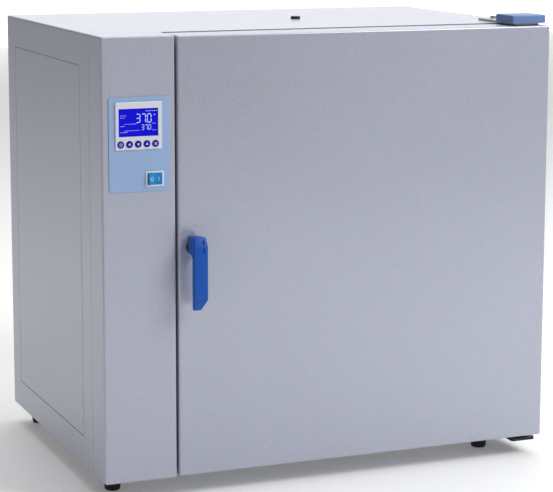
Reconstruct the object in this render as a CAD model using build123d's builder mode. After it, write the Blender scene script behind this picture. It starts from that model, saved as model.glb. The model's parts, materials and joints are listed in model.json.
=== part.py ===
from build123d import *
import os

os.makedirs("parts", exist_ok=True)

# A bench incubator: a folded steel cabinet on four feet, a control column at the
# left front, a deep insulated door hinged at the right, an inner glass door and a
# steel chamber with wire shelves. X runs to the right, Y to the rear, Z up.
# The origin is on the ground, under the middle of the whole object.

# Cabinet
BODY_W = 820.0  # across the control column and the door
BODY_H = 740.0  # case alone, without feet and hinge cover
BODY_D = 580.0  # door front to the rear edge of the case
SHEET = 1.2  # folded steel of the case, the column and the door
FOLD_R = 3.5  # outside radius of a folded edge
RETURN_W = 12.0  # width of a turned-in edge or ledge
REAR_INSET = 3.0  # rear panel behind the rear edge of the case
PAN_EDGE = 20.0  # upturned edge of the base pan

# Clearances
FIT = 0.2  # between fixed pieces
RUNNING = 0.3  # between a moving piece and what it passes
BEARING = 0.08  # a shaft in its bore, on the radius

# Control column and door
COLUMN_W = 125.5
COLUMN_D = 65.0
COLUMN_SEAM = 0.8  # column to case, seen on the left side
COLUMN_GAP = 4.0  # column to door
DOOR_T = 65.0
DOOR_CLEAR = 1.2  # door to the top and bottom planes of the case
SEAL_GAP = 7.0  # door to the face of the cabinet
GASKET_W = 20.0
GASKET_R = 8.0
GASKET_MARGIN = 10.0  # throat edge to the inner edge of the gasket
DOOR_FIELD = 5.0  # raised field of the door's inner panel
DOOR_FIELD_MARGIN = 10.0

# Throat and chamber
COMPARTMENT_W = 168.0  # left side of the case to the electrics plate
WALL_LEFT = 39.6
WALL_RIGHT = 78.0
WALL_TOP = 92.8
WALL_BOTTOM = 91.6
WALL_REAR = 73.6
BLANKET = 50.0  # insulation laid round the chamber
LINER = 1.0
LINER_R = 10.0
THROAT_D = 28.0  # face of the cabinet to the seat of the glass door
SEAT_W = 15.0
BREAKER = 2.0  # moulded frame round the throat
BREAKER_LIP = 6.0

# Service panel on the left side, from the door's front, rear, bottom and top
SERVICE_FRONT = 119.0
SERVICE_REAR = 50.0
SERVICE_LOW = 52.0
SERVICE_TOP = 54.0
SERVICE_GAP = 1.5

# Feet
FOOT_H = 36.0
FOOT_R = 17.0
FOOT_TIP_R = 11.5
FOOT_WEB = 8.0
FOOT_EDGE = 1.5  # broken edge round the tip
FOOT_LEFT = 40.0
FOOT_RIGHT = 78.0
FOOT_FRONT = 90.0
FOOT_REAR = 30.0

# Screws
M6_R = 3.0
M6_HEAD_R = 5.5
M6_HEAD_H = 4.0
M6_LENGTH = 16.0
M4_R = 2.0
M4_HEAD_R = 4.0
M4_LENGTH = 8.0

# Door hinges, measured from the door's right edge and front face
PIVOT_IN = 22.0
PIVOT_BACK = 25.0
HINGE_PIN_R = 5.0
HINGE_PIN_REACH = 20.0
BUSH_R = 8.0
BUSH_FLANGE_R = 11.0
BRACKET_T = 4.0
BRACKET_W = 48.0
BRACKET_IN = 63.0  # right side of the case to the bracket's left edge
BRACKET_FRONT = 12.0
BRACKET_REACH = 78.0  # bracket behind the face of the cabinet
BRACKET_SCREW_IN = 30.0  # face of the cabinet to the first screw
BRACKET_SCREW_END = 14.0  # last screw to the end of the bracket
LOWER_BRACKET_T = 5.0
LOWER_BRACKET_W = 46.0
LOWER_BRACKET_IN = 51.0
COVER_W = 65.0
COVER_D = 62.0
COVER_H = 14.0
COVER_RAISE = 3.0
COVER_FRONT = 4.0
COVER_RIGHT = 7.0
COVER_WALL = 2.0

# Handle and latch, measured from the door's left edge and the underside of the case
SPINDLE_IN = 24.0
SPINDLE_UP = 390.0
SPINDLE_R = 5.0
SQUARE = 7.0
SLEEVE_R = 7.0
ROSE_R = 10.5
ROSE_T = 3.0
GRIP_REACH = 45.0  # front of the grip before the door
GRIP_BACK = 25.0  # rear of the grip before the door
GRIP_W = 26.0
GRIP_BACK_W = 17.0
GRIP_DROP = 102.0  # spindle to the lower end
GRIP_RISE = 22.0  # spindle to the top
FINGER_T = 4.0
FINGER_L = 22.0
FINGER_W = 12.0
FINGER_HUB_R = 9.0
KEEPER_T = 3.0
KEEPER_SCREW_UP = 24.0  # spindle to the upper screw
KEEPER_SCREW_DOWN = 16.0  # end of the keyhole's slot to the lower screw
KEYHOLE_GAP = 1.5

# Control plate, measured from the left side and the top of the case
PLATE_W = 103.5
PLATE_H = 154.5
PLATE_IN = 12.0
PLATE_DOWN = 98.0
PLATE_R = 5.0
PLATE_PROUD = 1.5
SKIRT = 2.0
SKIRT_INSET = 4.0

# Controller, measured from the plate's top left corner, its window and keys from its own
BEZEL_W = 79.0
BEZEL_H = 77.5
BEZEL_IN = 10.5
BEZEL_DOWN = 7.7
BEZEL_PROUD = 2.5
BEZEL_LAP = 1.0
BEZEL_WALL = 1.5
DISPLAY_W = 67.3
DISPLAY_H = 45.5
DISPLAY_IN = 5.5
DISPLAY_DOWN = 10.5
DISPLAY_T = 1.5
DISPLAY_LAP = 1.0
CONTROLLER_D = 48.0
BOARD_IN = 14.0  # face of the plate to the circuit board
BOARD_T = 1.6
KEY_R = 5.6
KEY_PITCH = 14.75
KEY_IN = 8.8
KEY_DOWN = 68.5
KEY_PROUD = 1.2
KEY_TRAVEL = 0.8
KEY_COUNT = 5

# Mains switch, measured from the plate's top left corner
SWITCH_W = 30.5
SWITCH_H = 25.0
SWITCH_IN = 61.8
SWITCH_DOWN = 121.6
SWITCH_LAP = 2.0
SWITCH_FRAME = 2.6
SWITCH_RIM = 2.0
SWITCH_D = 24.0
ROCKER_TILT = 7.0

# Inner glass door
GLASS_T = 5.0
GLASS_LAP = 10.0
GLASS_SEAL_T = 2.7
GLASS_SEAL_W = 7.0
GLASS_PIVOT_R = 2.0
KNUCKLE_R = 4.0
KNOB_R = 12.0
KNOB_IN = 18.0  # left edge of the glass to the knob

# Chamber fittings
HEATER_R = 4.0
HEATER_UP = 16.0
HEATER_MARGIN = 60.0
BAFFLE_UP = 42.0
BAFFLE_MARGIN = 12.0
UPRIGHT_W = 20.0
UPRIGHT_D = 8.0
UPRIGHT_MARGIN = 55.0
UPRIGHT_SLOT_PITCH = 25.0
SHELF_UPS = (150.0, 325.0)
SHELF_FRAME_R = 3.0
SHELF_WIRE_R = 1.5
SHELF_PITCH = 26.0
SHELF_MARGIN = 12.0
PROBE_R = 3.0
PROBE_DOWN = 40.0  # chamber's ceiling to the probe
PROBE_REACH = 45.0  # probe inside the chamber
VENT_IN = 462.0  # left side of the case to the vent
VENT_BACK = 297.0  # front of the door to the vent
VENT_R = 8.0
VENT_BORE_R = 6.0
PLUG_R = 8.5
PLUG_H = 5.0

# Electrics, measured from the door's front face and the underside of the case
SUPPLY_BACK = 250.0
SUPPLY_UP = 110.0
SUPPLY_W = 100.0
SUPPLY_H = 170.0
SUPPLY_T = 42.0
SINK_BACK = 250.0
SINK_UP = 340.0
SINK_W = 90.0
SINK_H = 100.0
RELAY_W = 45.0
RELAY_H = 58.0
RELAY_T = 28.0
TERMINAL_BACK = 420.0
TERMINAL_UP = 150.0

# Mains inlet and fuse in the rear panel, measured from the left side and the underside
INLET_IN = 60.0
INLET_UP = 70.0
INLET_W = 27.0
INLET_H = 20.0
INLET_LIP = 2.0
INLET_WELL_W = 24.0
INLET_WELL_H = 16.4
INLET_KEY = 4.8  # cut corners of the well
FUSE_PITCH = 46.0  # inlet to fuse
FUSE_R = 6.0
FUSE_L = 26.0
FUSE_CAP_R = 8.0

# Places worked out from the sizes above
LEFT = -BODY_W / 2
RIGHT = BODY_W / 2
LOW = FOOT_H
HIGH = FOOT_H + BODY_H
MIDDLE_Z = (LOW + HIGH) / 2
FRONT = (GRIP_REACH - BODY_D) / 2
REAR = FRONT + BODY_D
DOOR_LEFT = LEFT + COLUMN_W + COLUMN_GAP
DOOR_BACK = FRONT + DOOR_T
DOOR_LOW = LOW + DOOR_CLEAR
DOOR_HIGH = HIGH - DOOR_CLEAR
CASE_FRONT = DOOR_BACK + SEAL_GAP
COLUMN_RIGHT = LEFT + COLUMN_W
COLUMN_BACK = FRONT + COLUMN_D
CASE_EDGE = COLUMN_BACK + COLUMN_SEAM
INNER_FOLD = max(FOLD_R - SHEET, FIT)
REAR_PANEL_BACK = REAR - REAR_INSET
REAR_PANEL_FRONT = REAR_PANEL_BACK - SHEET
LEDGE_FRONT = REAR_PANEL_FRONT - SHEET
PAN_LOW = LOW + SHEET
PAN_FLOOR = PAN_LOW + SHEET
FRAME_BACK = CASE_FRONT + SHEET
ELECTRICS_LEFT = LEFT + COMPARTMENT_W
ELECTRICS_RIGHT = ELECTRICS_LEFT + SHEET
CHAMBER_LEFT = ELECTRICS_RIGHT + WALL_LEFT + LINER
CHAMBER_RIGHT = RIGHT - SHEET - WALL_RIGHT - LINER
CHAMBER_LOW = PAN_FLOOR + WALL_BOTTOM + LINER
CHAMBER_HIGH = HIGH - SHEET - WALL_TOP - LINER
CHAMBER_BACK = LEDGE_FRONT - WALL_REAR - LINER
CHAMBER_W = CHAMBER_RIGHT - CHAMBER_LEFT
CHAMBER_H = CHAMBER_HIGH - CHAMBER_LOW
CHAMBER_X = (CHAMBER_LEFT + CHAMBER_RIGHT) / 2
CHAMBER_Z = (CHAMBER_LOW + CHAMBER_HIGH) / 2
THROAT_BACK = CASE_FRONT + THROAT_D
THROAT_W = CHAMBER_W + 2 * SEAT_W
THROAT_H = CHAMBER_H + 2 * SEAT_W
SEAT_BACK = THROAT_BACK + BREAKER
LINER_FRONT = SEAT_BACK + LINER
PIVOT_X = RIGHT - PIVOT_IN
PIVOT_Y = FRONT + PIVOT_BACK
SPINDLE_X = DOOR_LEFT + SPINDLE_IN
SPINDLE_Z = LOW + SPINDLE_UP
PLATE_LEFT = LEFT + PLATE_IN
PLATE_TOP = HIGH - PLATE_DOWN
PLATE_CENTRE = (PLATE_LEFT + PLATE_W / 2, PLATE_TOP - PLATE_H / 2)
PLATE_FACE = FRONT - PLATE_PROUD
BEZEL_LEFT = PLATE_LEFT + BEZEL_IN
BEZEL_TOP = PLATE_TOP - BEZEL_DOWN
BEZEL_CENTRE = (BEZEL_LEFT + BEZEL_W / 2, BEZEL_TOP - BEZEL_H / 2)
DISPLAY_X = BEZEL_LEFT + DISPLAY_IN + DISPLAY_W / 2
DISPLAY_CENTRE = (DISPLAY_X, BEZEL_TOP - DISPLAY_DOWN - DISPLAY_H / 2)
SWITCH_X = PLATE_LEFT + SWITCH_IN + SWITCH_W / 2
SWITCH_CENTRE = (SWITCH_X, PLATE_TOP - SWITCH_DOWN - SWITCH_H / 2)
VENT_AT = (LEFT + VENT_IN, FRONT + VENT_BACK)
INLET_AT = (LEFT + INLET_IN, LOW + INLET_UP)
FUSE_AT = (INLET_AT[0] + FUSE_PITCH, INLET_AT[1])


def upright(y):
    """The plane across the cabinet at a depth, seen from the front."""
    return Plane.XZ.offset(-y)


def block(x, y, z, mode=Mode.ADD):
    """A block that spans the pair of places given on each axis."""
    with Locations(((x[0] + x[1]) / 2, (y[0] + y[1]) / 2, (z[0] + z[1]) / 2)):
        Box(x[1] - x[0], y[1] - y[0], z[1] - z[0], mode=mode)


def round_bar(axis, radius, span, at, mode=Mode.ADD):
    """A round bar along an axis; at gives the other two coordinates in X, Y, Z order."""
    middle = (span[0] + span[1]) / 2
    centre = {"X": (middle, *at), "Y": (at[0], middle, at[1]), "Z": (*at, middle)}
    turn = {"X": (0, 90, 0), "Y": (90, 0, 0), "Z": (0, 0, 0)}
    with Locations(Location(centre[axis], turn[axis])):
        Cylinder(radius, span[1] - span[0], mode=mode)


def countersunk(axis, face, inward, at, slack=0.0, mode=Mode.ADD):
    """A countersunk M4 screw sunk into a sheet's face, or with slack the hole for it."""
    middle = face + inward * SHEET / 2
    centre = (middle, *at) if axis == "X" else (at[0], middle, at[1])
    turn = (0, inward * 90, 0) if axis == "X" else (-inward * 90, 0, 0)
    with Locations(Location(centre, turn)):
        Cone(M4_HEAD_R + slack, M4_R + slack, SHEET, mode=mode)
    shank = sorted((face, face + inward * M4_LENGTH))
    round_bar(axis, M4_R + slack, shank, at, mode)


# Where the fasteners go
FEET = [
    (x, y)
    for x in (LEFT + FOOT_LEFT, RIGHT - FOOT_RIGHT)
    for y in (FRONT + FOOT_FRONT, REAR - FOOT_REAR)
]
BRACKET_X = (RIGHT - BRACKET_IN, RIGHT - BRACKET_IN + BRACKET_W)
BRACKET_Y = (FRONT + BRACKET_FRONT, CASE_FRONT + BRACKET_REACH)
BRACKET_MIDDLE = (BRACKET_X[0] + BRACKET_X[1]) / 2
LOWER_BRACKET_LEFT = RIGHT - LOWER_BRACKET_IN
LOWER_BRACKET_MIDDLE = LOWER_BRACKET_LEFT + LOWER_BRACKET_W / 2
BRACKET_SCREW_Y = (CASE_FRONT + BRACKET_SCREW_IN, BRACKET_Y[1] - BRACKET_SCREW_END)
UPPER_SCREWS = [(BRACKET_MIDDLE, y) for y in BRACKET_SCREW_Y]
LOWER_SCREWS = [(LOWER_BRACKET_MIDDLE, y) for y in BRACKET_SCREW_Y]
SERVICE_Y = (FRONT + SERVICE_FRONT, REAR - SERVICE_REAR)
SERVICE_Z = (LOW + SERVICE_LOW, HIGH - SERVICE_TOP)
SERVICE_W = SERVICE_Y[1] - SERVICE_Y[0]
SERVICE_H = SERVICE_Z[1] - SERVICE_Z[0]
SERVICE_MIDDLE = ((SERVICE_Y[0] + SERVICE_Y[1]) / 2, (SERVICE_Z[0] + SERVICE_Z[1]) / 2)
SERVICE_SCREWS = [
    (y, SERVICE_Z[1] - RETURN_W / 2 - SERVICE_GAP)
    for y in (SERVICE_Y[0] + 2 * RETURN_W, SERVICE_Y[1] - 2 * RETURN_W)
]
LEDGE_MIDDLE = SHEET + RETURN_W / 2
REAR_SCREWS = [
    (x, z)
    for x in (LEFT + LEDGE_MIDDLE, RIGHT - LEDGE_MIDDLE)
    for z in (LOW + 4 * RETURN_W, MIDDLE_Z, HIGH - 4 * RETURN_W)
]
REAR_SCREWS += [(x, HIGH - LEDGE_MIDDLE) for x in (-BODY_W / 4, 0, BODY_W / 4)]
KEEPER_SCREW_Z = (SPINDLE_Z + KEEPER_SCREW_UP, SPINDLE_Z - FINGER_L - KEEPER_SCREW_DOWN)
KEEPER_SCREWS = [(SPINDLE_X, z) for z in KEEPER_SCREW_Z]

# Outer case: one sheet folded round the left side, top and right side
with BuildPart() as outer_case:
    with BuildSketch(upright(CASE_EDGE)):
        with Locations((0, MIDDLE_Z)):
            RectangleRounded(BODY_W, BODY_H, FOLD_R)
            RectangleRounded(BODY_W - 2 * SHEET, BODY_H - 2 * SHEET, INNER_FOLD, mode=Mode.SUBTRACT)
        with Locations((0, LOW)):
            Rectangle(BODY_W - 2 * RETURN_W, 4 * SHEET, mode=Mode.SUBTRACT)
    extrude(amount=CASE_EDGE - REAR)
    door_side = (COLUMN_RIGHT + COLUMN_GAP / 2, RIGHT + FOLD_R)
    block(door_side, (CASE_EDGE - FOLD_R, CASE_FRONT), (LOW - FOLD_R, HIGH + FOLD_R), Mode.SUBTRACT)
    with BuildSketch(upright(LEDGE_FRONT)):
        with Locations((0, MIDDLE_Z)):
            RectangleRounded(BODY_W - SHEET, BODY_H - SHEET, FOLD_R - SHEET / 2)
            ledge_inset = 2 * (SHEET + RETURN_W)
            Rectangle(BODY_W - ledge_inset, BODY_H - ledge_inset, mode=Mode.SUBTRACT)
        with Locations((0, LOW)):
            Rectangle(BODY_W, 2 * (PAN_EDGE + 2 * SHEET), mode=Mode.SUBTRACT)
    extrude(amount=-SHEET)
    with BuildSketch(Plane.YZ.offset(LEFT)):
        with Locations(SERVICE_MIDDLE):
            RectangleRounded(SERVICE_W, SERVICE_H, FOLD_R)
    extrude(amount=SHEET, mode=Mode.SUBTRACT)
    with BuildSketch(Plane.YZ.offset(LEFT + SHEET)):
        with Locations(SERVICE_MIDDLE):
            Rectangle(SERVICE_W + RETURN_W, SERVICE_H + RETURN_W)
            Rectangle(SERVICE_W - 2 * RETURN_W, SERVICE_H - 2 * RETURN_W, mode=Mode.SUBTRACT)
    extrude(amount=SHEET)
    for y, z in SERVICE_SCREWS:
        round_bar("X", M4_R + FIT, (LEFT, LEFT + 3 * SHEET), (y, z), Mode.SUBTRACT)
    for x, z in REAR_SCREWS:
        round_bar("Y", M4_R + FIT, (LEDGE_FRONT - SHEET, REAR), (x, z), Mode.SUBTRACT)
    for x, y in UPPER_SCREWS:
        round_bar("Z", M6_R + FIT, (HIGH - 2 * SHEET, HIGH + SHEET), (x, y), Mode.SUBTRACT)
    round_bar("Z", VENT_BORE_R + FIT, (HIGH - 2 * SHEET, HIGH + SHEET), VENT_AT, Mode.SUBTRACT)
outer_case.part.label = "outer_case"
export_step(outer_case.part, "parts/outer_case.step")

# Base pan: a tray inside the case, with two welded rails that carry the chamber
PAN_X = (LEFT + SHEET + FIT, RIGHT - SHEET - FIT)
PAN_Y = (FRAME_BACK + FIT, REAR_PANEL_FRONT - FIT)
RAIL_TOP = CHAMBER_LOW - LINER - FIT - BLANKET
RAIL_W = 30.0
RAIL_FOOT = 12.0
with BuildPart() as base_pan:
    block(PAN_X, PAN_Y, (PAN_LOW, PAN_LOW + PAN_EDGE))
    fillet(base_pan.faces().sort_by(Axis.Z)[0].edges().filter_by(Axis.Y), INNER_FOLD)
    offset(amount=-SHEET, openings=base_pan.faces().sort_by(Axis.Z)[-1])
    for rail_y in (THROAT_BACK + RAIL_W * 2, CHAMBER_BACK - RAIL_W * 2):
        with BuildSketch(Plane.YZ.offset(ELECTRICS_RIGHT + FIT)):
            with BuildLine():
                middle = SHEET / 2
                Polyline(
                    (rail_y - RAIL_W / 2 - RAIL_FOOT, PAN_FLOOR + middle),
                    (rail_y - RAIL_W / 2, PAN_FLOOR + middle),
                    (rail_y - RAIL_W / 2, RAIL_TOP - middle),
                    (rail_y + RAIL_W / 2, RAIL_TOP - middle),
                    (rail_y + RAIL_W / 2, PAN_FLOOR + middle),
                    (rail_y + RAIL_W / 2 + RAIL_FOOT, PAN_FLOOR + middle),
                )
            trace(line_width=SHEET)
        extrude(amount=RIGHT - 2 * SHEET - 2 * FIT - ELECTRICS_RIGHT)
    for x, y in FEET + LOWER_SCREWS:
        round_bar("Z", M6_R + FIT, (LOW, PAN_FLOOR + SHEET), (x, y), Mode.SUBTRACT)
base_pan.part.label = "base_pan"
export_step(base_pan.part, "parts/base_pan.step")

# Rear panel: flat, with louvre slots and the mains cut-outs over the electrics
LOUVRES = 7
LOUVRE_DOWN = 140.0
LOUVRE_PITCH = 12.0
LOUVRE_L = 80.0
LOUVRE_W = 3.0
with BuildPart() as rear_panel:
    with BuildSketch(upright(REAR_PANEL_FRONT)):
        panel_low = LOW + SHEET + FIT
        panel_high = HIGH - SHEET - FIT
        with Locations((0, (panel_low + panel_high) / 2)):
            RectangleRounded(BODY_W - 2 * SHEET - 2 * FIT, panel_high - panel_low, INNER_FOLD)
        with Locations(INLET_AT):
            Rectangle(INLET_W + 2 * FIT, INLET_H + 2 * FIT, mode=Mode.SUBTRACT)
        with Locations(FUSE_AT):
            Circle(FUSE_R + FIT, mode=Mode.SUBTRACT)
        with Locations((LEFT + COMPARTMENT_W / 2, HIGH - LOUVRE_DOWN)):
            with GridLocations(1, LOUVRE_PITCH, 1, LOUVRES):
                SlotOverall(LOUVRE_L, LOUVRE_W, mode=Mode.SUBTRACT)
    extrude(amount=-SHEET)
    for at in REAR_SCREWS:
        countersunk("Y", REAR_PANEL_BACK, -1, at, FIT, Mode.SUBTRACT)
rear_panel.part.label = "rear_panel"
export_step(rear_panel.part, "parts/rear_panel.step")

# Front frame: the sealing face of the cabinet round the throat
with BuildPart() as front_frame:
    with BuildSketch(upright(CASE_FRONT)):
        face_low = LOW + SHEET + FIT
        face_high = HIGH - SHEET - FIT
        with Locations((0, (face_low + face_high) / 2)):
            RectangleRounded(BODY_W - 2 * SHEET - 2 * FIT, face_high - face_low, INNER_FOLD)
        with Locations((CHAMBER_X, CHAMBER_Z)):
            rim = 2 * (BREAKER + FIT)
            Rectangle(THROAT_W + rim, THROAT_H + rim, mode=Mode.SUBTRACT)
        with Locations(PLATE_CENTRE):
            RectangleRounded(PLATE_W - 2 * RETURN_W, PLATE_H, PLATE_R, mode=Mode.SUBTRACT)
        with Locations((SPINDLE_X, SPINDLE_Z)):
            Circle(FINGER_HUB_R + KEYHOLE_GAP, mode=Mode.SUBTRACT)
        slot_l = FINGER_L + KEYHOLE_GAP
        with Locations((SPINDLE_X, SPINDLE_Z - slot_l / 2)):
            Rectangle(FINGER_W + 2 * KEYHOLE_GAP, slot_l, mode=Mode.SUBTRACT)
    extrude(amount=-SHEET)
    for at in KEEPER_SCREWS:
        countersunk("Y", CASE_FRONT, 1, at, FIT, Mode.SUBTRACT)
front_frame.part.label = "front_frame"
export_step(front_frame.part, "parts/front_frame.step")

# Latch keeper: a thick plate behind the front frame with the same keyhole
KEEPER_X = (SPINDLE_X - FINGER_L - M4_HEAD_R, ELECTRICS_LEFT - LINER)
KEEPER_Z = (KEEPER_SCREW_Z[1] - 2 * M4_HEAD_R, KEEPER_SCREW_Z[0] + 2 * M4_HEAD_R)
with BuildPart() as latch_keeper:
    with BuildSketch(upright(FRAME_BACK)):
        with Locations(((KEEPER_X[0] + KEEPER_X[1]) / 2, (KEEPER_Z[0] + KEEPER_Z[1]) / 2)):
            RectangleRounded(KEEPER_X[1] - KEEPER_X[0], KEEPER_Z[1] - KEEPER_Z[0], KEEPER_T)
        with Locations((SPINDLE_X, SPINDLE_Z)):
            Circle(FINGER_HUB_R + KEYHOLE_GAP, mode=Mode.SUBTRACT)
        with Locations((SPINDLE_X, SPINDLE_Z - slot_l / 2)):
            Rectangle(FINGER_W + 2 * KEYHOLE_GAP, slot_l, mode=Mode.SUBTRACT)
        with Locations(KEEPER_SCREWS):
            Circle(M4_R + FIT, mode=Mode.SUBTRACT)
    extrude(amount=-KEEPER_T)
latch_keeper.part.label = "latch_keeper"
export_step(latch_keeper.part, "parts/latch_keeper.step")

# Throat frame: a moulded heat break with a lip on the cabinet's face and a seat
with BuildPart() as throat_frame:
    with BuildSketch(upright(CASE_FRONT - BREAKER)):
        with Locations((CHAMBER_X, CHAMBER_Z)):
            lip = 2 * BREAKER_LIP
            RectangleRounded(THROAT_W + lip, THROAT_H + lip, BREAKER_LIP)
            Rectangle(THROAT_W, THROAT_H, mode=Mode.SUBTRACT)
    extrude(amount=-BREAKER)
    with BuildSketch(upright(CASE_FRONT)):
        with Locations((CHAMBER_X, CHAMBER_Z)):
            Rectangle(THROAT_W + 2 * BREAKER, THROAT_H + 2 * BREAKER)
            Rectangle(THROAT_W, THROAT_H, mode=Mode.SUBTRACT)
    extrude(amount=CASE_FRONT - THROAT_BACK)
    with BuildSketch(upright(THROAT_BACK)):
        with Locations((CHAMBER_X, CHAMBER_Z)):
            Rectangle(THROAT_W + 2 * BREAKER, THROAT_H + 2 * BREAKER)
            RectangleRounded(CHAMBER_W, CHAMBER_H, LINER_R, mode=Mode.SUBTRACT)
    extrude(amount=-BREAKER)
throat_frame.part.label = "throat_frame"
export_step(throat_frame.part, "parts/throat_frame.step")

# Chamber liner: a welded box with rounded corners and a front flange
HEATER_PASSES = 4
HEATER_Y0 = THROAT_BACK + HEATER_MARGIN
HEATER_PITCH = (CHAMBER_BACK - HEATER_MARGIN - HEATER_Y0) / (HEATER_PASSES - 1)
HEATER_Z = CHAMBER_LOW + HEATER_UP
HEATER_LEGS = (HEATER_Y0, HEATER_Y0 + (HEATER_PASSES - 1) * HEATER_PITCH)
PROBE_Y = (THROAT_BACK + CHAMBER_BACK) / 2
PROBE_Z = CHAMBER_HIGH - PROBE_DOWN
with BuildPart() as chamber_liner:
    with BuildSketch(upright(SEAT_BACK)):
        with Locations((CHAMBER_X, CHAMBER_Z)):
            Rectangle(CHAMBER_W + 2 * RETURN_W, CHAMBER_H + 2 * RETURN_W)
            RectangleRounded(CHAMBER_W, CHAMBER_H, LINER_R, mode=Mode.SUBTRACT)
    extrude(amount=-LINER)
    with BuildSketch(upright(LINER_FRONT)):
        with Locations((CHAMBER_X, CHAMBER_Z)):
            RectangleRounded(CHAMBER_W + 2 * LINER, CHAMBER_H + 2 * LINER, LINER_R + LINER)
            RectangleRounded(CHAMBER_W, CHAMBER_H, LINER_R, mode=Mode.SUBTRACT)
    extrude(amount=LINER_FRONT - CHAMBER_BACK)
    with BuildSketch(upright(CHAMBER_BACK)):
        with Locations((CHAMBER_X, CHAMBER_Z)):
            RectangleRounded(CHAMBER_W + 2 * LINER, CHAMBER_H + 2 * LINER, LINER_R + LINER)
    extrude(amount=-LINER)
    wall = (CHAMBER_LEFT - 2 * LINER, CHAMBER_LEFT + LINER)
    for y in HEATER_LEGS:
        round_bar("X", HEATER_R + RUNNING, wall, (y, HEATER_Z), Mode.SUBTRACT)
    round_bar("X", PROBE_R + RUNNING, wall, (PROBE_Y, PROBE_Z), Mode.SUBTRACT)
    ceiling = (CHAMBER_HIGH - LINER, CHAMBER_HIGH + 2 * LINER)
    round_bar("Z", VENT_R + FIT, ceiling, VENT_AT, Mode.SUBTRACT)
chamber_liner.part.label = "chamber_liner"
export_step(chamber_liner.part, "parts/chamber_liner.step")

# Insulation: five slabs of mineral wool laid round the liner
SLAB_X = (ELECTRICS_RIGHT + FIT, CHAMBER_RIGHT + LINER + FIT + BLANKET)
SLAB_Y = (LINER_FRONT + FIT, CHAMBER_BACK + LINER)
SLAB_Z = (RAIL_TOP, CHAMBER_HIGH + LINER + FIT + BLANKET)
SIDE_Z = (CHAMBER_LOW - LINER, CHAMBER_HIGH + LINER)
with BuildPart() as insulation_slabs:
    block((SLAB_X[0], CHAMBER_LEFT - LINER - FIT), SLAB_Y, SIDE_Z)
    block((CHAMBER_RIGHT + LINER + FIT, SLAB_X[1]), SLAB_Y, SIDE_Z)
    block(SLAB_X, SLAB_Y, (SLAB_Z[0] + FIT, SIDE_Z[0] - FIT))
    block(SLAB_X, SLAB_Y, (SIDE_Z[1] + FIT, SLAB_Z[1]))
    block(SLAB_X, (SLAB_Y[1] + FIT, SLAB_Y[1] + FIT + BLANKET), SLAB_Z)
    through = (SLAB_X[0] - LINER, CHAMBER_LEFT)
    for y in HEATER_LEGS:
        round_bar("X", HEATER_R + LINER, through, (y, HEATER_Z), Mode.SUBTRACT)
    round_bar("X", PROBE_R + LINER, through, (PROBE_Y, PROBE_Z), Mode.SUBTRACT)
    round_bar("Z", VENT_R + FIT, (CHAMBER_HIGH, HIGH), VENT_AT, Mode.SUBTRACT)
insulation_slabs.part.label = "insulation_slabs"
export_step(insulation_slabs.part, "parts/insulation_slabs.step")

# Electrics plate: the wall between the chamber's insulation and the wiring space
PLATE_Y = (FRAME_BACK + FIT, LEDGE_FRONT - FIT)
with BuildPart() as electrics_plate:
    plate_z = (PAN_FLOOR + FIT, HIGH - SHEET - FIT)
    block((ELECTRICS_LEFT, ELECTRICS_RIGHT), (PLATE_Y[0] + SHEET, PLATE_Y[1] - SHEET), plate_z)
    through = (ELECTRICS_LEFT - SHEET, CHAMBER_LEFT)
    for y in HEATER_LEGS:
        round_bar("X", HEATER_R + LINER, through, (y, HEATER_Z), Mode.SUBTRACT)
    round_bar("X", PROBE_R + RUNNING, through, (PROBE_Y, PROBE_Z), Mode.SUBTRACT)
electrics_plate.part.label = "electrics_plate"
export_step(electrics_plate.part, "parts/electrics_plate.step")

# Service panel: a flush cover on the left side, hooked below and screwed above
PANEL_Y = (SERVICE_Y[0] + SERVICE_GAP, SERVICE_Y[1] - SERVICE_GAP)
PANEL_Z = (SERVICE_Z[0] + SERVICE_GAP, SERVICE_Z[1] - SERVICE_GAP)
HOOK_W = 30.0
with BuildPart() as service_panel:
    with BuildSketch(Plane.YZ.offset(LEFT)):
        with Locations(SERVICE_MIDDLE):
            RectangleRounded(PANEL_Y[1] - PANEL_Y[0], PANEL_Z[1] - PANEL_Z[0], FOLD_R)
    extrude(amount=SHEET)
    for at in SERVICE_SCREWS:
        countersunk("X", LEFT, 1, at, FIT, Mode.SUBTRACT)
    hook_low = SERVICE_Z[0] + RETURN_W + FIT
    hook_back = LEFT + 3 * SHEET + FIT
    for y in (PANEL_Y[0] + 2 * HOOK_W, PANEL_Y[1] - 3 * HOOK_W):
        hook = (y, y + HOOK_W)
        block((LEFT + SHEET, hook_back), hook, (hook_low, hook_low + SHEET))
        block((hook_back - SHEET, hook_back), hook, (hook_low - 6 * SHEET, hook_low + SHEET))
service_panel.part.label = "service_panel"
export_step(service_panel.part, "parts/service_panel.step")

# Control column: a folded cover, flush with the door's front
with BuildPart() as control_column:
    block((LEFT, COLUMN_RIGHT), (FRONT, COLUMN_BACK), (LOW, HIGH))
    open_back = control_column.faces().sort_by(Axis.Y)[-1]
    fillet(control_column.edges() - open_back.edges(), FOLD_R)
    offset(amount=-SHEET, openings=control_column.faces().sort_by(Axis.Y)[-1])
    folds = (LOW + 2 * FOLD_R, HIGH - 2 * FOLD_R)
    block((COLUMN_RIGHT - SHEET, COLUMN_RIGHT), (COLUMN_BACK - SHEET, CASE_FRONT - FIT), folds)
    block((LEFT + SHEET / 2, LEFT + SHEET + RETURN_W), (COLUMN_BACK - SHEET, COLUMN_BACK), folds)
    with BuildSketch(upright(FRONT)):
        with Locations(PLATE_CENTRE):
            hole = 2 * (SKIRT_INSET - FIT)
            RectangleRounded(PLATE_W - hole, PLATE_H - hole, PLATE_R)
    extrude(amount=-2 * SHEET, mode=Mode.SUBTRACT)
control_column.part.label = "control_column"
export_step(control_column.part, "parts/control_column.step")

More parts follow.
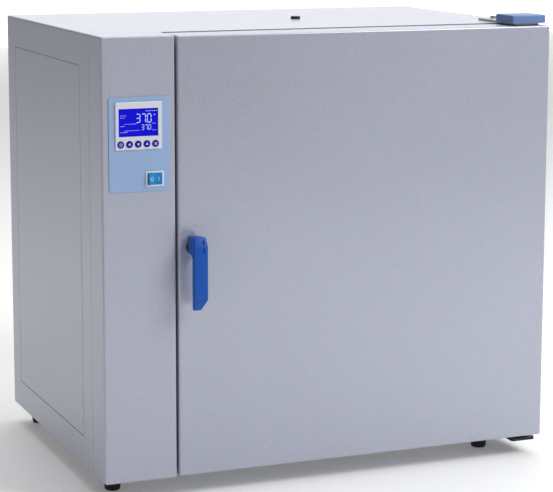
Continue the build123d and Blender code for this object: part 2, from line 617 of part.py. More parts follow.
# Control plate: the pale blue moulding that carries controller and switch
BEZEL_BACK_W = BEZEL_W - 2 * BEZEL_LAP
BEZEL_BACK_H = BEZEL_H - 2 * BEZEL_LAP
SWITCH_BODY_W = SWITCH_W - 2 * SWITCH_LAP
SWITCH_BODY_H = SWITCH_H - 2 * SWITCH_LAP
with BuildPart() as control_plate:
    with BuildSketch(upright(PLATE_FACE)):
        with Locations(PLATE_CENTRE):
            RectangleRounded(PLATE_W, PLATE_H, PLATE_R)
    extrude(amount=-PLATE_PROUD)
    fillet(control_plate.faces().sort_by(Axis.Y)[0].edges(), PLATE_PROUD / 3)
    with BuildSketch(upright(FRONT)):
        with Locations(PLATE_CENTRE):
            RectangleRounded(PLATE_W - 2 * SKIRT_INSET, PLATE_H - 2 * SKIRT_INSET, PLATE_R)
            skirt = 2 * (SKIRT_INSET + SKIRT)
            RectangleRounded(PLATE_W - skirt, PLATE_H - skirt, PLATE_R - SKIRT, mode=Mode.SUBTRACT)
    extrude(amount=-4 * SKIRT)
    with BuildSketch(upright(PLATE_FACE)):
        with Locations(BEZEL_CENTRE):
            Rectangle(BEZEL_BACK_W + 2 * FIT, BEZEL_BACK_H + 2 * FIT)
        with Locations(SWITCH_CENTRE):
            Rectangle(SWITCH_BODY_W + 2 * FIT, SWITCH_BODY_H + 2 * FIT)
    extrude(amount=-PLATE_PROUD, mode=Mode.SUBTRACT)
control_plate.part.label = "control_plate"
export_step(control_plate.part, "parts/control_plate.step")

# Controller bezel: a silver frame with the display window and five key holes
BEZEL_FACE = PLATE_FACE - BEZEL_PROUD
BEZEL_SKIRT_BACK = PLATE_FACE + CONTROLLER_D / 2
KEYS = [(BEZEL_LEFT + KEY_IN + n * KEY_PITCH, BEZEL_TOP - KEY_DOWN) for n in range(KEY_COUNT)]
with BuildPart() as controller_bezel:
    with BuildSketch(upright(BEZEL_FACE)):
        with Locations(BEZEL_CENTRE):
            RectangleRounded(BEZEL_W, BEZEL_H, BEZEL_WALL)
    extrude(amount=-BEZEL_PROUD)
    chamfer(controller_bezel.faces().sort_by(Axis.Y)[0].edges(), BEZEL_PROUD / 3)
    with BuildSketch(upright(PLATE_FACE)):
        with Locations(BEZEL_CENTRE):
            Rectangle(BEZEL_BACK_W, BEZEL_BACK_H)
            Rectangle(BEZEL_BACK_W - 2 * BEZEL_WALL, BEZEL_BACK_H - 2 * BEZEL_WALL, mode=Mode.SUBTRACT)
    extrude(amount=PLATE_FACE - BEZEL_SKIRT_BACK)
    with BuildSketch(upright(BEZEL_FACE)):
        with Locations(DISPLAY_CENTRE):
            Rectangle(DISPLAY_W, DISPLAY_H)
        with Locations(KEYS):
            Circle(KEY_R + RUNNING)
    extrude(amount=-BEZEL_PROUD, mode=Mode.SUBTRACT)
controller_bezel.part.label = "controller_bezel"
export_step(controller_bezel.part, "parts/controller_bezel.step")

# Display window: a clear pane behind the bezel
with BuildPart() as display_window:
    with BuildSketch(upright(PLATE_FACE)):
        with Locations(DISPLAY_CENTRE):
            RectangleRounded(DISPLAY_W + 2 * FIT, DISPLAY_H + 2 * DISPLAY_LAP, BEZEL_WALL)
    extrude(amount=-DISPLAY_T)
display_window.part.label = "display_window"
export_step(display_window.part, "parts/display_window.step")

# Control board: display module and key switches on one circuit board
BOARD_FRONT = PLATE_FACE + BOARD_IN
SWITCH_CAN = 6.0
SWITCH_CAN_H = 4.0
CHIP_COUNT = 4
CHIP_PITCH = 17.0
CHIP_W = 11.0
CHIP_H = 18.0
CHIP_T = 4.0
with BuildPart() as control_board:
    with BuildSketch(upright(BOARD_FRONT)):
        with Locations(BEZEL_CENTRE):
            inset = 2 * (BEZEL_WALL + FIT)
            Rectangle(BEZEL_BACK_W - inset, BEZEL_BACK_H - inset)
    extrude(amount=-BOARD_T)
    with BuildSketch(upright(PLATE_FACE + DISPLAY_T + FIT)):
        with Locations(DISPLAY_CENTRE):
            Rectangle(DISPLAY_W - 4 * DISPLAY_LAP, DISPLAY_H)
    extrude(amount=PLATE_FACE + DISPLAY_T + FIT - BOARD_FRONT)
    for x, z in KEYS:
        can = (BOARD_FRONT - SWITCH_CAN_H, BOARD_FRONT)
        block((x - SWITCH_CAN / 2, x + SWITCH_CAN / 2), can, (z - SWITCH_CAN / 2, z + SWITCH_CAN / 2))
    with BuildSketch(upright(BOARD_FRONT + BOARD_T)):
        with Locations(BEZEL_CENTRE):
            with GridLocations(CHIP_PITCH, 1, CHIP_COUNT, 1):
                Rectangle(CHIP_W, CHIP_H)
    extrude(amount=-CHIP_T)
control_board.part.label = "control_board"
export_step(control_board.part, "parts/control_board.step")

# Controller back: the rear shell of the controller
with BuildPart() as controller_back:
    with BuildSketch(upright(BEZEL_SKIRT_BACK + FIT)):
        with Locations(BEZEL_CENTRE):
            Rectangle(BEZEL_BACK_W, BEZEL_BACK_H)
    extrude(amount=BEZEL_SKIRT_BACK + FIT - PLATE_FACE - CONTROLLER_D)
    fillet(controller_back.faces().sort_by(Axis.Y)[-1].edges(), 2 * BEZEL_WALL)
    offset(amount=-BEZEL_WALL, openings=controller_back.faces().sort_by(Axis.Y)[0])
controller_back.part.label = "controller_back"
export_step(controller_back.part, "parts/controller_back.step")

# Keys: round caps with a flange behind the bezel and a stem towards the board
KEY_STEM_R = 2.0
for n, (x, z) in enumerate(KEYS):
    with BuildPart() as key:
        round_bar("Y", KEY_R, (BEZEL_FACE - KEY_PROUD, PLATE_FACE + RUNNING), (x, z))
        fillet(key.faces().sort_by(Axis.Y)[0].edges(), KEY_PROUD / 2)
        round_bar("Y", KEY_R + 2 * RUNNING, (PLATE_FACE + RUNNING, PLATE_FACE + 4 * RUNNING), (x, z))
        stem_end = BOARD_FRONT - SWITCH_CAN_H - KEY_TRAVEL - RUNNING
        round_bar("Y", KEY_STEM_R, (PLATE_FACE, stem_end), (x, z))
    key.part.label = f"key_{n + 1}"
    export_step(key.part, f"parts/key_{n + 1}.step")

# Switch housing: a white snap-in frame with an open well and three blades
SWITCH_FACE = PLATE_FACE - SWITCH_RIM
WELL_W = SWITCH_W - 2 * SWITCH_FRAME
WELL_H = SWITCH_H - 2 * SWITCH_FRAME
WELL_FLOOR = 6.0
PIVOT_DEPTH = 3.2
ROCKER_PIVOT = SWITCH_FACE + PIVOT_DEPTH
TRUNNION_R = 1.5
BLADE_PITCH = 9.0
BLADE_W = 6.2
BLADE_T = 0.8
BLADE_L = 8.0
with BuildPart() as switch_housing:
    with BuildSketch(upright(SWITCH_FACE)):
        with Locations(SWITCH_CENTRE):
            RectangleRounded(SWITCH_W, SWITCH_H, SWITCH_RIM)
    extrude(amount=-SWITCH_RIM)
    fillet(switch_housing.faces().sort_by(Axis.Y)[0].edges(), SWITCH_RIM / 3)
    with BuildSketch(upright(PLATE_FACE)):
        with Locations(SWITCH_CENTRE):
            Rectangle(SWITCH_BODY_W, SWITCH_BODY_H)
    extrude(amount=SWITCH_FACE - PLATE_FACE - SWITCH_D + 2 * SWITCH_RIM)
    with BuildSketch(upright(SWITCH_FACE)):
        with Locations(SWITCH_CENTRE):
            Rectangle(WELL_W, WELL_H)
    extrude(amount=WELL_FLOOR - SWITCH_D, mode=Mode.SUBTRACT)
    trunnion_z = (SWITCH_CENTRE[1] - SWITCH_H, SWITCH_CENTRE[1] + SWITCH_H)
    trunnion_at = (SWITCH_CENTRE[0], ROCKER_PIVOT)
    round_bar("Z", TRUNNION_R + BEARING, trunnion_z, trunnion_at, Mode.SUBTRACT)
    housing_back = switch_housing.faces().sort_by(Axis.Y)[-1].center().Y
    with BuildSketch(upright(housing_back)):
        with Locations(SWITCH_CENTRE):
            with GridLocations(BLADE_PITCH, 1, 3, 1):
                Rectangle(BLADE_T, BLADE_W)
    extrude(amount=-BLADE_L)
switch_housing.part.label = "switch_housing"
export_step(switch_housing.part, "parts/switch_housing.step")

# Rocker: a shallow V that turns on trunnions in the housing; its right side is in
ROCKER_GAP = 0.9
ROCKER_HALF = WELL_W / 2 - ROCKER_GAP
ROCKER_TIP = 2.6
ROCKER_VALLEY = 0.4
with BuildPart() as rocker:
    rocker_low = SWITCH_CENTRE[1] - WELL_H / 2 + RUNNING
    rocker_h = WELL_H - 2 * RUNNING
    rocker_plane = Plane(
        origin=(SWITCH_CENTRE[0], ROCKER_PIVOT, rocker_low), x_dir=(1, 0, 0), z_dir=(0, 0, 1)
    ).rotated((0, 0, ROCKER_TILT))
    with BuildSketch(rocker_plane):
        with BuildLine():
            depth = ROCKER_PIVOT - SWITCH_FACE
            Polyline(
                (-ROCKER_HALF, -depth - ROCKER_TIP),
                (0, -depth - ROCKER_VALLEY),
                (ROCKER_HALF, -depth - ROCKER_TIP),
                (ROCKER_HALF, 0),
                (ROCKER_HALF / 2, ROCKER_HALF / 2),
                (-ROCKER_HALF / 2, ROCKER_HALF / 2),
                (-ROCKER_HALF, 0),
                close=True,
            )
        make_face()
    extrude(amount=rocker_h)
    round_bar("Z", TRUNNION_R, (rocker_low - 2 * RUNNING, rocker_low + rocker_h + 2 * RUNNING), trunnion_at)
rocker.part.label = "rocker"
export_step(rocker.part, "parts/rocker.step")

# Door skin: a deep tray folded from one sheet, open at the back
SKIN_X = (DOOR_LEFT, RIGHT)
SKIN_Z = (DOOR_LOW, DOOR_HIGH)
PIVOT = (PIVOT_X, PIVOT_Y)
SPINDLE = (SPINDLE_X, SPINDLE_Z)
with BuildPart() as door_skin:
    block(SKIN_X, (FRONT, DOOR_BACK), SKIN_Z)
    skin_back = door_skin.faces().sort_by(Axis.Y)[-1]
    fillet(door_skin.edges() - skin_back.edges(), FOLD_R)
    offset(amount=-SHEET, openings=door_skin.faces().sort_by(Axis.Y)[-1])
    round_bar("Z", BUSH_R + FIT, (LOW, HIGH), PIVOT, Mode.SUBTRACT)
    round_bar("Y", SLEEVE_R + FIT, (FRONT - SHEET, FRONT + 2 * SHEET), SPINDLE, Mode.SUBTRACT)
door_skin.part.label = "door_skin"
export_step(door_skin.part, "parts/door_skin.step")

# Inner panel of the door: a shallow tray with a raised field behind the throat
PANEL_X = (DOOR_LEFT + SHEET + FIT, RIGHT - SHEET - FIT)
INNER_Z = (DOOR_LOW + SHEET + FIT, DOOR_HIGH - SHEET - FIT)
FIELD_W = THROAT_W - 2 * DOOR_FIELD_MARGIN
FIELD_H = THROAT_H - 2 * DOOR_FIELD_MARGIN
with BuildPart() as door_inner_panel:
    block(PANEL_X, (DOOR_BACK - RETURN_W, DOOR_BACK), INNER_Z)
    fillet(door_inner_panel.edges().filter_by(Axis.Y), INNER_FOLD)
    with BuildSketch(upright(DOOR_BACK)):
        with Locations((CHAMBER_X, CHAMBER_Z)):
            RectangleRounded(FIELD_W, FIELD_H, LINER_R)
    extrude(amount=-DOOR_FIELD, taper=30)
    offset(amount=-SHEET, openings=door_inner_panel.faces().sort_by(Axis.Y)[0])
    round_bar("Y", SLEEVE_R + FIT, (DOOR_BACK - 2 * SHEET, DOOR_BACK + SHEET), SPINDLE, Mode.SUBTRACT)
door_inner_panel.part.label = "door_inner_panel"
export_step(door_inner_panel.part, "parts/door_inner_panel.step")

# Door insulation: one block inside skin and inner panel
DOOR_FILL = 2 * (SHEET + FIT)
BUSH_L = HINGE_PIN_REACH
with BuildPart() as door_insulation:
    block(
        (DOOR_LEFT + DOOR_FILL, RIGHT - DOOR_FILL),
        (FRONT + SHEET + FIT, DOOR_BACK - SHEET - FIT),
        (DOOR_LOW + DOOR_FILL, DOOR_HIGH - DOOR_FILL),
    )
    fillet(door_insulation.edges().filter_by(Axis.Y), INNER_FOLD)
    for ends in ((LOW, DOOR_LOW + BUSH_L + SHEET), (DOOR_HIGH - BUSH_L - SHEET, HIGH)):
        round_bar("Z", BUSH_R + LINER, ends, PIVOT, Mode.SUBTRACT)
    round_bar("Y", SLEEVE_R + FIT, (FRONT, DOOR_BACK), SPINDLE, Mode.SUBTRACT)
door_insulation.part.label = "door_insulation"
export_step(door_insulation.part, "parts/door_insulation.step")

# Door gasket: a silicone ring with a rounded face, just clear of the cabinet
GASKET_IN_W = THROAT_W + 2 * GASKET_MARGIN
GASKET_IN_H = THROAT_H + 2 * GASKET_MARGIN
with BuildPart() as door_gasket:
    with BuildSketch(upright(DOOR_BACK)):
        with Locations((CHAMBER_X, CHAMBER_Z)):
            gasket_out = 2 * GASKET_W
            RectangleRounded(GASKET_IN_W + gasket_out, GASKET_IN_H + gasket_out, GASKET_R + GASKET_W)
            RectangleRounded(GASKET_IN_W, GASKET_IN_H, GASKET_R, mode=Mode.SUBTRACT)
    extrude(amount=-(SEAL_GAP - RUNNING))
    chamfer(door_gasket.faces().sort_by(Axis.Y)[-1].edges(), SEAL_GAP / 2)
door_gasket.part.label = "door_gasket"
export_step(door_gasket.part, "parts/door_gasket.step")

# Hinge bushes in the top and bottom of the door
LOWER_BRACKET_TOP = LOW - LOWER_BRACKET_T
with BuildPart() as hinge_bushes:
    round_bar("Z", BUSH_FLANGE_R, (DOOR_HIGH, HIGH - RUNNING), PIVOT)
    round_bar("Z", BUSH_R, (DOOR_HIGH - BUSH_L, DOOR_HIGH), PIVOT)
    round_bar("Z", BUSH_FLANGE_R, (LOWER_BRACKET_TOP + RUNNING, DOOR_LOW), PIVOT)
    round_bar("Z", BUSH_R, (DOOR_LOW, DOOR_LOW + BUSH_L), PIVOT)
    round_bar("Z", HINGE_PIN_R + BEARING, (LOWER_BRACKET_TOP, HIGH), PIVOT, Mode.SUBTRACT)
hinge_bushes.part.label = "hinge_bushes"
export_step(hinge_bushes.part, "parts/hinge_bushes.step")

# Hinge pins, riveted into the brackets
with BuildPart() as hinge_pins:
    round_bar("Z", HINGE_PIN_R, (DOOR_HIGH - BUSH_L + FIT, HIGH + BRACKET_T), PIVOT)
    round_bar("Z", HINGE_PIN_R + BRACKET_T / 2, (HIGH + BRACKET_T, HIGH + BRACKET_T * 3 / 2), PIVOT)
    pin_foot = LOWER_BRACKET_TOP - LOWER_BRACKET_T
    round_bar("Z", HINGE_PIN_R, (pin_foot, DOOR_LOW + BUSH_L - FIT), PIVOT)
    round_bar("Z", HINGE_PIN_R + BRACKET_T / 2, (pin_foot - BRACKET_T / 2, pin_foot), PIVOT)
hinge_pins.part.label = "hinge_pins"
export_step(hinge_pins.part, "parts/hinge_pins.step")

# Upper hinge bracket: a flat plate on the cabinet's top that reaches over the door
with BuildPart() as upper_hinge_bracket:
    with BuildSketch(Plane.XY.offset(HIGH)):
        with Locations((BRACKET_MIDDLE, (BRACKET_Y[0] + BRACKET_Y[1]) / 2)):
            RectangleRounded(BRACKET_W, BRACKET_Y[1] - BRACKET_Y[0], BRACKET_T)
        with Locations(PIVOT):
            Circle(HINGE_PIN_R + BEARING, mode=Mode.SUBTRACT)
        with Locations(UPPER_SCREWS):
            Circle(M6_R + FIT, mode=Mode.SUBTRACT)
    extrude(amount=BRACKET_T)
upper_hinge_bracket.part.label = "upper_hinge_bracket"
export_step(upper_hinge_bracket.part, "parts/upper_hinge_bracket.step")

# Lower hinge bracket: cranked down in front of the cabinet to pass under the door
CRANK = 12.0
with BuildPart() as lower_hinge_bracket:
    with BuildSketch(Plane.YZ.offset(LOWER_BRACKET_LEFT)):
        with BuildLine():
            under = LOWER_BRACKET_TOP
            Polyline(
                (FRONT + BRACKET_FRONT, under - LOWER_BRACKET_T),
                (FRONT + BRACKET_FRONT, under),
                (DOOR_BACK - CRANK / 2, under),
                (DOOR_BACK + CRANK / 2, LOW),
                (BRACKET_Y[1], LOW),
                (BRACKET_Y[1], under),
                (DOOR_BACK + CRANK, under),
                (DOOR_BACK, under - LOWER_BRACKET_T),
                close=True,
            )
        make_face()
    extrude(amount=LOWER_BRACKET_W)
    corners = lower_hinge_bracket.edges().filter_by(Axis.Z)
    fillet(corners, LOWER_BRACKET_T)
    round_bar("Z", HINGE_PIN_R + BEARING, (0, LOW), PIVOT, Mode.SUBTRACT)
    for at in LOWER_SCREWS:
        round_bar("Z", M6_R + FIT, (0, LOW + SHEET), at, Mode.SUBTRACT)
lower_hinge_bracket.part.label = "lower_hinge_bracket"
export_step(lower_hinge_bracket.part, "parts/lower_hinge_bracket.step")

# Hinge cover: a blue moulded cap over the front of the upper bracket
COVER_X = (RIGHT - COVER_RIGHT - COVER_W, RIGHT - COVER_RIGHT)
COVER_Y = (FRONT + COVER_FRONT, FRONT + COVER_FRONT + COVER_D)
COVER_Z = (HIGH + COVER_RAISE, HIGH + COVER_RAISE + COVER_H)
with BuildPart() as hinge_cover:
    block(COVER_X, COVER_Y, COVER_Z)
    cover_open = hinge_cover.faces().sort_by(Axis.Z)[0]
    fillet(hinge_cover.edges() - cover_open.edges(), COVER_WALL * 0.75)
    offset(amount=-COVER_WALL, openings=hinge_cover.faces().sort_by(Axis.Z)[0])
    passage_x = (BRACKET_X[0] - FIT, BRACKET_X[1] + FIT)
    passage_y = (COVER_Y[1] - 2 * COVER_WALL, COVER_Y[1] + COVER_WALL)
    block(passage_x, passage_y, (HIGH, HIGH + BRACKET_T + FIT), Mode.SUBTRACT)
    for y in (COVER_Y[0] + 4 * COVER_WALL, COVER_Y[1] - COVER_D / 4):
        rib = (HIGH + BRACKET_T + FIT, COVER_Z[1] - COVER_WALL)
        block((COVER_X[0] + COVER_WALL, COVER_X[1] - COVER_WALL), (y, y + COVER_WALL), rib)
hinge_cover.part.label = "hinge_cover"
export_step(hinge_cover.part, "parts/hinge_cover.step")

# Spindle sleeve: a flanged bush that guides the latch spindle through the door
with BuildPart() as spindle_sleeve:
    round_bar("Y", SLEEVE_R, (FRONT, DOOR_BACK + SHEET), SPINDLE)
    round_bar("Y", ROSE_R, (FRONT - ROSE_T, FRONT), SPINDLE)
    fillet(spindle_sleeve.faces().sort_by(Axis.Y)[0].edges(), ROSE_T / 3)
    bore = (FRONT - 2 * ROSE_T, DOOR_BACK + 2 * SHEET)
    round_bar("Y", SPINDLE_R + BEARING, bore, SPINDLE, Mode.SUBTRACT)
spindle_sleeve.part.label = "spindle_sleeve"
export_step(spindle_sleeve.part, "parts/spindle_sleeve.step")

# Handle: one moulding, a hub block with a grip hanging in front of the door
HUB_BACK = FRONT - ROSE_T - RUNNING
HUB_W = 17.0
GRIP_FACE = FRONT - GRIP_REACH
GRIP_REAR = FRONT - GRIP_BACK
GRIP_END = SPINDLE_Z - GRIP_DROP
GRIP_TOP = SPINDLE_Z + GRIP_RISE
NECK_R = 9.0
SOCKET_D = 14.0
BROW_DROP = 8.0  # spindle to where the face starts to lean back
CREST_BACK = 6.5
CREST_DIP = 3.0
FACE_EDGE = 2.0
FLANK = 5.0
SLOTS = ((10.0, 17.5, 5.2), (-3.0, 5.0, 2.6))  # ends above the spindle, and depth
SLOT_X = (4.0, 6.0)
with BuildPart() as handle:
    with BuildSketch(Plane.YZ.offset(SPINDLE_X - GRIP_W)):
        with BuildLine():
            brow = (GRIP_FACE, SPINDLE_Z - BROW_DROP)
            crest = (GRIP_FACE + CREST_BACK, GRIP_TOP)
            between = (GRIP_FACE + CREST_BACK / 3, (brow[1] + crest[1]) / 2)
            lower_front = (GRIP_FACE, GRIP_END + GRIP_REACH - GRIP_BACK)
            neck_low = (GRIP_REAR, SPINDLE_Z - 2 * NECK_R)
            neck_back = (GRIP_REAR + NECK_R, SPINDLE_Z - NECK_R)
            ThreePointArc(crest, between, brow)
            Polyline(brow, lower_front, (GRIP_REAR, GRIP_END), neck_low)
            RadiusArc(neck_low, neck_back, NECK_R)
            Polyline(neck_back, (HUB_BACK, SPINDLE_Z - NECK_R), (HUB_BACK, GRIP_TOP - CREST_DIP), crest)
        make_face()
    extrude(amount=2 * GRIP_W)
    with BuildSketch(Plane.XY.offset(GRIP_END)):
        with BuildLine():
            half = GRIP_W / 2
            Polyline(
                (SPINDLE_X - half + FACE_EDGE, GRIP_FACE),
                (SPINDLE_X + half - FACE_EDGE, GRIP_FACE),
                (SPINDLE_X + half, GRIP_FACE + FLANK),
                (SPINDLE_X + GRIP_BACK_W / 2, GRIP_REAR),
                (SPINDLE_X + HUB_W / 2, HUB_BACK),
                (SPINDLE_X - HUB_W / 2, HUB_BACK),
                (SPINDLE_X - GRIP_BACK_W / 2, GRIP_REAR),
                (SPINDLE_X - half, GRIP_FACE + FLANK),
                close=True,
            )
        make_face()
    extrude(amount=GRIP_TOP - GRIP_END, mode=Mode.INTERSECT)
    slot_x = (SPINDLE_X + SLOT_X[0], SPINDLE_X + SLOT_X[1])
    for low, high, depth in SLOTS:
        slot_y = (GRIP_FACE - FACE_EDGE, GRIP_FACE + depth)
        block(slot_x, slot_y, (SPINDLE_Z + low, SPINDLE_Z + high), Mode.SUBTRACT)
    socket = (SQUARE + FIT) / 2
    block(
        (SPINDLE_X - socket, SPINDLE_X + socket),
        (HUB_BACK - SOCKET_D, HUB_BACK),
        (SPINDLE_Z - socket, SPINDLE_Z + socket),
        Mode.SUBTRACT,
    )
handle.part.label = "handle"
export_step(handle.part, "parts/handle.step")

# Latch spindle: round through the sleeve, square in the handle and in the finger
KEEPER_BACK = FRAME_BACK + KEEPER_T
FINGER_FRONT = KEEPER_BACK + RUNNING
FINGER_BACK = FINGER_FRONT + FINGER_T
with BuildPart() as latch_spindle:
    round_bar("Y", SPINDLE_R, (HUB_BACK, FINGER_FRONT), SPINDLE)
    for span in ((HUB_BACK - SOCKET_D + FIT, HUB_BACK), (FINGER_FRONT, FINGER_BACK)):
        block(
            (SPINDLE_X - SQUARE / 2, SPINDLE_X + SQUARE / 2),
            span,
            (SPINDLE_Z - SQUARE / 2, SPINDLE_Z + SQUARE / 2),
        )
    round_bar("Y", SPINDLE_R, (FINGER_BACK, FINGER_BACK + FINGER_T / 2), SPINDLE)
latch_spindle.part.label = "latch_spindle"
export_step(latch_spindle.part, "parts/latch_spindle.step")

# Latch finger: points left behind the keeper when the handle hangs down
with BuildPart() as latch_finger:
    with BuildSketch(upright(FINGER_FRONT)):
        with Locations(SPINDLE):
            Circle(FINGER_HUB_R)
        with Locations((SPINDLE_X - FINGER_L / 2, SPINDLE_Z)):
            Rectangle(FINGER_L, FINGER_W)
        with Locations(SPINDLE):
            Rectangle(SQUARE + FIT, SQUARE + FIT, mode=Mode.SUBTRACT)
    extrude(amount=-FINGER_T)
    tip = latch_finger.faces().sort_by(Axis.X)[0].edges().filter_by(Axis.Z)
    chamfer(tip, FINGER_T / 4)
latch_finger.part.label = "latch_finger"
export_step(latch_finger.part, "parts/latch_finger.step")

# Seal of the glass door, on the seat round the chamber's mouth
GLASS_BACK = THROAT_BACK - GLASS_SEAL_T - RUNNING
GLASS_FRONT = GLASS_BACK - GLASS_T
GLASS_W = CHAMBER_W + 2 * GLASS_LAP
GLASS_H = CHAMBER_H + 2 * GLASS_LAP
with BuildPart() as glass_seal:
    with BuildSketch(upright(THROAT_BACK - GLASS_SEAL_T)):
        with Locations((CHAMBER_X, CHAMBER_Z)):
            seal_out = GLASS_LAP + GLASS_SEAL_W
            RectangleRounded(CHAMBER_W + seal_out, CHAMBER_H + seal_out, LINER_R + GLASS_SEAL_W)
            seal_in = GLASS_LAP - GLASS_SEAL_W
            RectangleRounded(CHAMBER_W + seal_in, CHAMBER_H + seal_in, LINER_R, mode=Mode.SUBTRACT)
    extrude(amount=-GLASS_SEAL_T)
    fillet(glass_seal.faces().sort_by(Axis.Y)[0].edges(), GLASS_SEAL_T / 3)
glass_seal.part.label = "glass_seal"
export_step(glass_seal.part, "parts/glass_seal.step")

# Glass door: a pane with a hole for its knob
GLASS_RIGHT = CHAMBER_RIGHT + GLASS_LAP
GLASS_LEFT = CHAMBER_LEFT - GLASS_LAP
GLASS_LOW = CHAMBER_LOW - GLASS_LAP
GLASS_HIGH = CHAMBER_HIGH + GLASS_LAP
KNOB_AT = (GLASS_LEFT + KNOB_IN, CHAMBER_Z)
KNOB_SHAFT_R = 3.0
with BuildPart() as glass_pane:
    with BuildSketch(upright(GLASS_FRONT)):
        with Locations((CHAMBER_X, CHAMBER_Z)):
            RectangleRounded(GLASS_W, GLASS_H, BREAKER)
        with Locations(KNOB_AT):
            Circle(KNOB_SHAFT_R + BEARING, mode=Mode.SUBTRACT)
    extrude(amount=-GLASS_T)
glass_pane.part.label = "glass_pane"
export_step(glass_pane.part, "parts/glass_pane.step")

# Glass hinge leaves: cheeks on the pane's right corners with a knuckle each
GLASS_PIVOT = (GLASS_RIGHT + RUNNING, GLASS_FRONT - KNUCKLE_R)
LEAF_W = 34.0
LEAF_H = 26.0
LEAF_T = 2.0
with BuildPart() as glass_hinge_leaves:
    for edge, side in ((GLASS_HIGH, 1), (GLASS_LOW, -1)):
        rows = sorted((edge - side * LEAF_H, edge + side * LEAF_T))
        cap = sorted((edge, edge + side * LEAF_T))
        block((GLASS_RIGHT - LEAF_W, GLASS_PIVOT[0]), (GLASS_FRONT - LEAF_T, GLASS_FRONT), rows)
        block((GLASS_RIGHT - LEAF_W, GLASS_RIGHT), (GLASS_FRONT - LEAF_T, GLASS_BACK), cap)
        round_bar("Z", KNUCKLE_R, rows, GLASS_PIVOT)
        round_bar("Z", GLASS_PIVOT_R + BEARING, rows, GLASS_PIVOT, Mode.SUBTRACT)
glass_hinge_leaves.part.label = "glass_hinge_leaves"
export_step(glass_hinge_leaves.part, "parts/glass_hinge_leaves.step")

# Glass hinge blocks in the throat, each with its pin
THROAT_RIGHT = CHAMBER_RIGHT + SEAT_W
THROAT_LEFT = CHAMBER_LEFT - SEAT_W
THROAT_HIGH = CHAMBER_HIGH + SEAT_W
THROAT_LOW = CHAMBER_LOW - SEAT_W
PIN_REACH = 14.0
with BuildPart() as glass_hinge_blocks:
    block_x = (THROAT_RIGHT - 4 * KNUCKLE_R, THROAT_RIGHT)
    block_y = (GLASS_PIVOT[1] - KNUCKLE_R, GLASS_FRONT)
    for edge, wall, side in ((GLASS_HIGH, THROAT_HIGH, 1), (GLASS_LOW, THROAT_LOW, -1)):
        start = edge + side * (LEAF_T + RUNNING)
        block(block_x, block_y, sorted((start, wall)))
        round_bar("Z", GLASS_PIVOT_R, sorted((start - side * PIN_REACH, wall)), GLASS_PIVOT)
glass_hinge_blocks.part.label = "glass_hinge_blocks"
export_step(glass_hinge_blocks.part, "parts/glass_hinge_blocks.step")

# Glass door knob: knob, shaft, catch and rear collar turn together
CATCH_T = 2.5
CATCH_W = 10.0
CATCH_HUB_R = 6.0
CATCH_FRONT = GLASS_FRONT - RUNNING - CATCH_T
CATCH_TIP = THROAT_LEFT + LEAF_T + RUNNING
CATCH_RUN = KNOB_AT[0] - CATCH_TIP - CATCH_W / 2  # from the shaft to the centre of the round tip
KNOB_L = 13.0
KNOB_COLLAR_R = 5.5
KNOB_COLLAR_T = 2.0
with BuildPart() as glass_knob:
    round_bar("Y", KNOB_R, (CATCH_FRONT - KNOB_L, CATCH_FRONT), KNOB_AT)
    fillet(glass_knob.faces().sort_by(Axis.Y)[0].edges(), BREAKER)
    with BuildSketch(upright(CATCH_FRONT)):
        with Locations((KNOB_AT[0] - CATCH_RUN / 2, KNOB_AT[1])):
            SlotCenterToCenter(CATCH_RUN, CATCH_W)
        with Locations(KNOB_AT):
            Circle(CATCH_HUB_R)
    extrude(amount=-CATCH_T)
    collar = GLASS_BACK + RUNNING
    round_bar("Y", KNOB_SHAFT_R, (CATCH_FRONT, collar), KNOB_AT)
    round_bar("Y", KNOB_COLLAR_R, (collar, collar + KNOB_COLLAR_T), KNOB_AT)
glass_knob.part.label = "glass_knob"
export_step(glass_knob.part, "parts/glass_knob.step")

# Keeper of the glass door: a bent clip on the throat's left wall
with BuildPart() as glass_keeper:
    clip_z = (KNOB_AT[1] - CATCH_W, KNOB_AT[1] + CATCH_W)
    lip_back = CATCH_FRONT - RUNNING
    block((THROAT_LEFT, THROAT_LEFT + LEAF_T), (lip_back - 2 * LEAF_T, GLASS_FRONT), clip_z)
    block((THROAT_LEFT, GLASS_LEFT + RUNNING), (lip_back - LEAF_T, lip_back), clip_z)
    keeper_edge = glass_keeper.faces().sort_by(Axis.X)[-1].edges().filter_by(Axis.Z)
    fillet(keeper_edge, LEAF_T / 3)
glass_keeper.part.label = "glass_keeper"
export_step(glass_keeper.part, "parts/glass_keeper.step")

# Heater: a sheathed element bent to and fro under the baffle
HEATER_RIGHT = CHAMBER_RIGHT - HEATER_MARGIN
HEATER_TURN = CHAMBER_LEFT + HEATER_MARGIN
HEATER_TAIL = 15.0
HEATER_START = ELECTRICS_LEFT - HEATER_TAIL
COLLAR_R = 7.0
with BuildPart() as heater_element:
    rows = [HEATER_Y0 + n * HEATER_PITCH for n in range(HEATER_PASSES)]
    with BuildLine(Plane.XY.offset(HEATER_Z)) as run:
        FilletPolyline(
            (HEATER_START, rows[0]),
            (HEATER_RIGHT, rows[0]),
            (HEATER_RIGHT, rows[1]),
            (HEATER_TURN, rows[1]),
            (HEATER_TURN, rows[2]),
            (HEATER_RIGHT, rows[2]),
            (HEATER_RIGHT, rows[3]),
            (HEATER_START, rows[3]),
            radius=HEATER_PITCH / 2 - HEATER_R / 2,
        )
    with BuildSketch(Plane(origin=(HEATER_START, rows[0], HEATER_Z), z_dir=(1, 0, 0))):
        Circle(HEATER_R)
    sweep(path=run.line)
    for y in HEATER_LEGS:
        round_bar("X", COLLAR_R, (CHAMBER_LEFT + FIT, CHAMBER_LEFT + 4 * LINER), (y, HEATER_Z))
heater_element.part.label = "heater_element"
export_step(heater_element.part, "parts/heater_element.step")

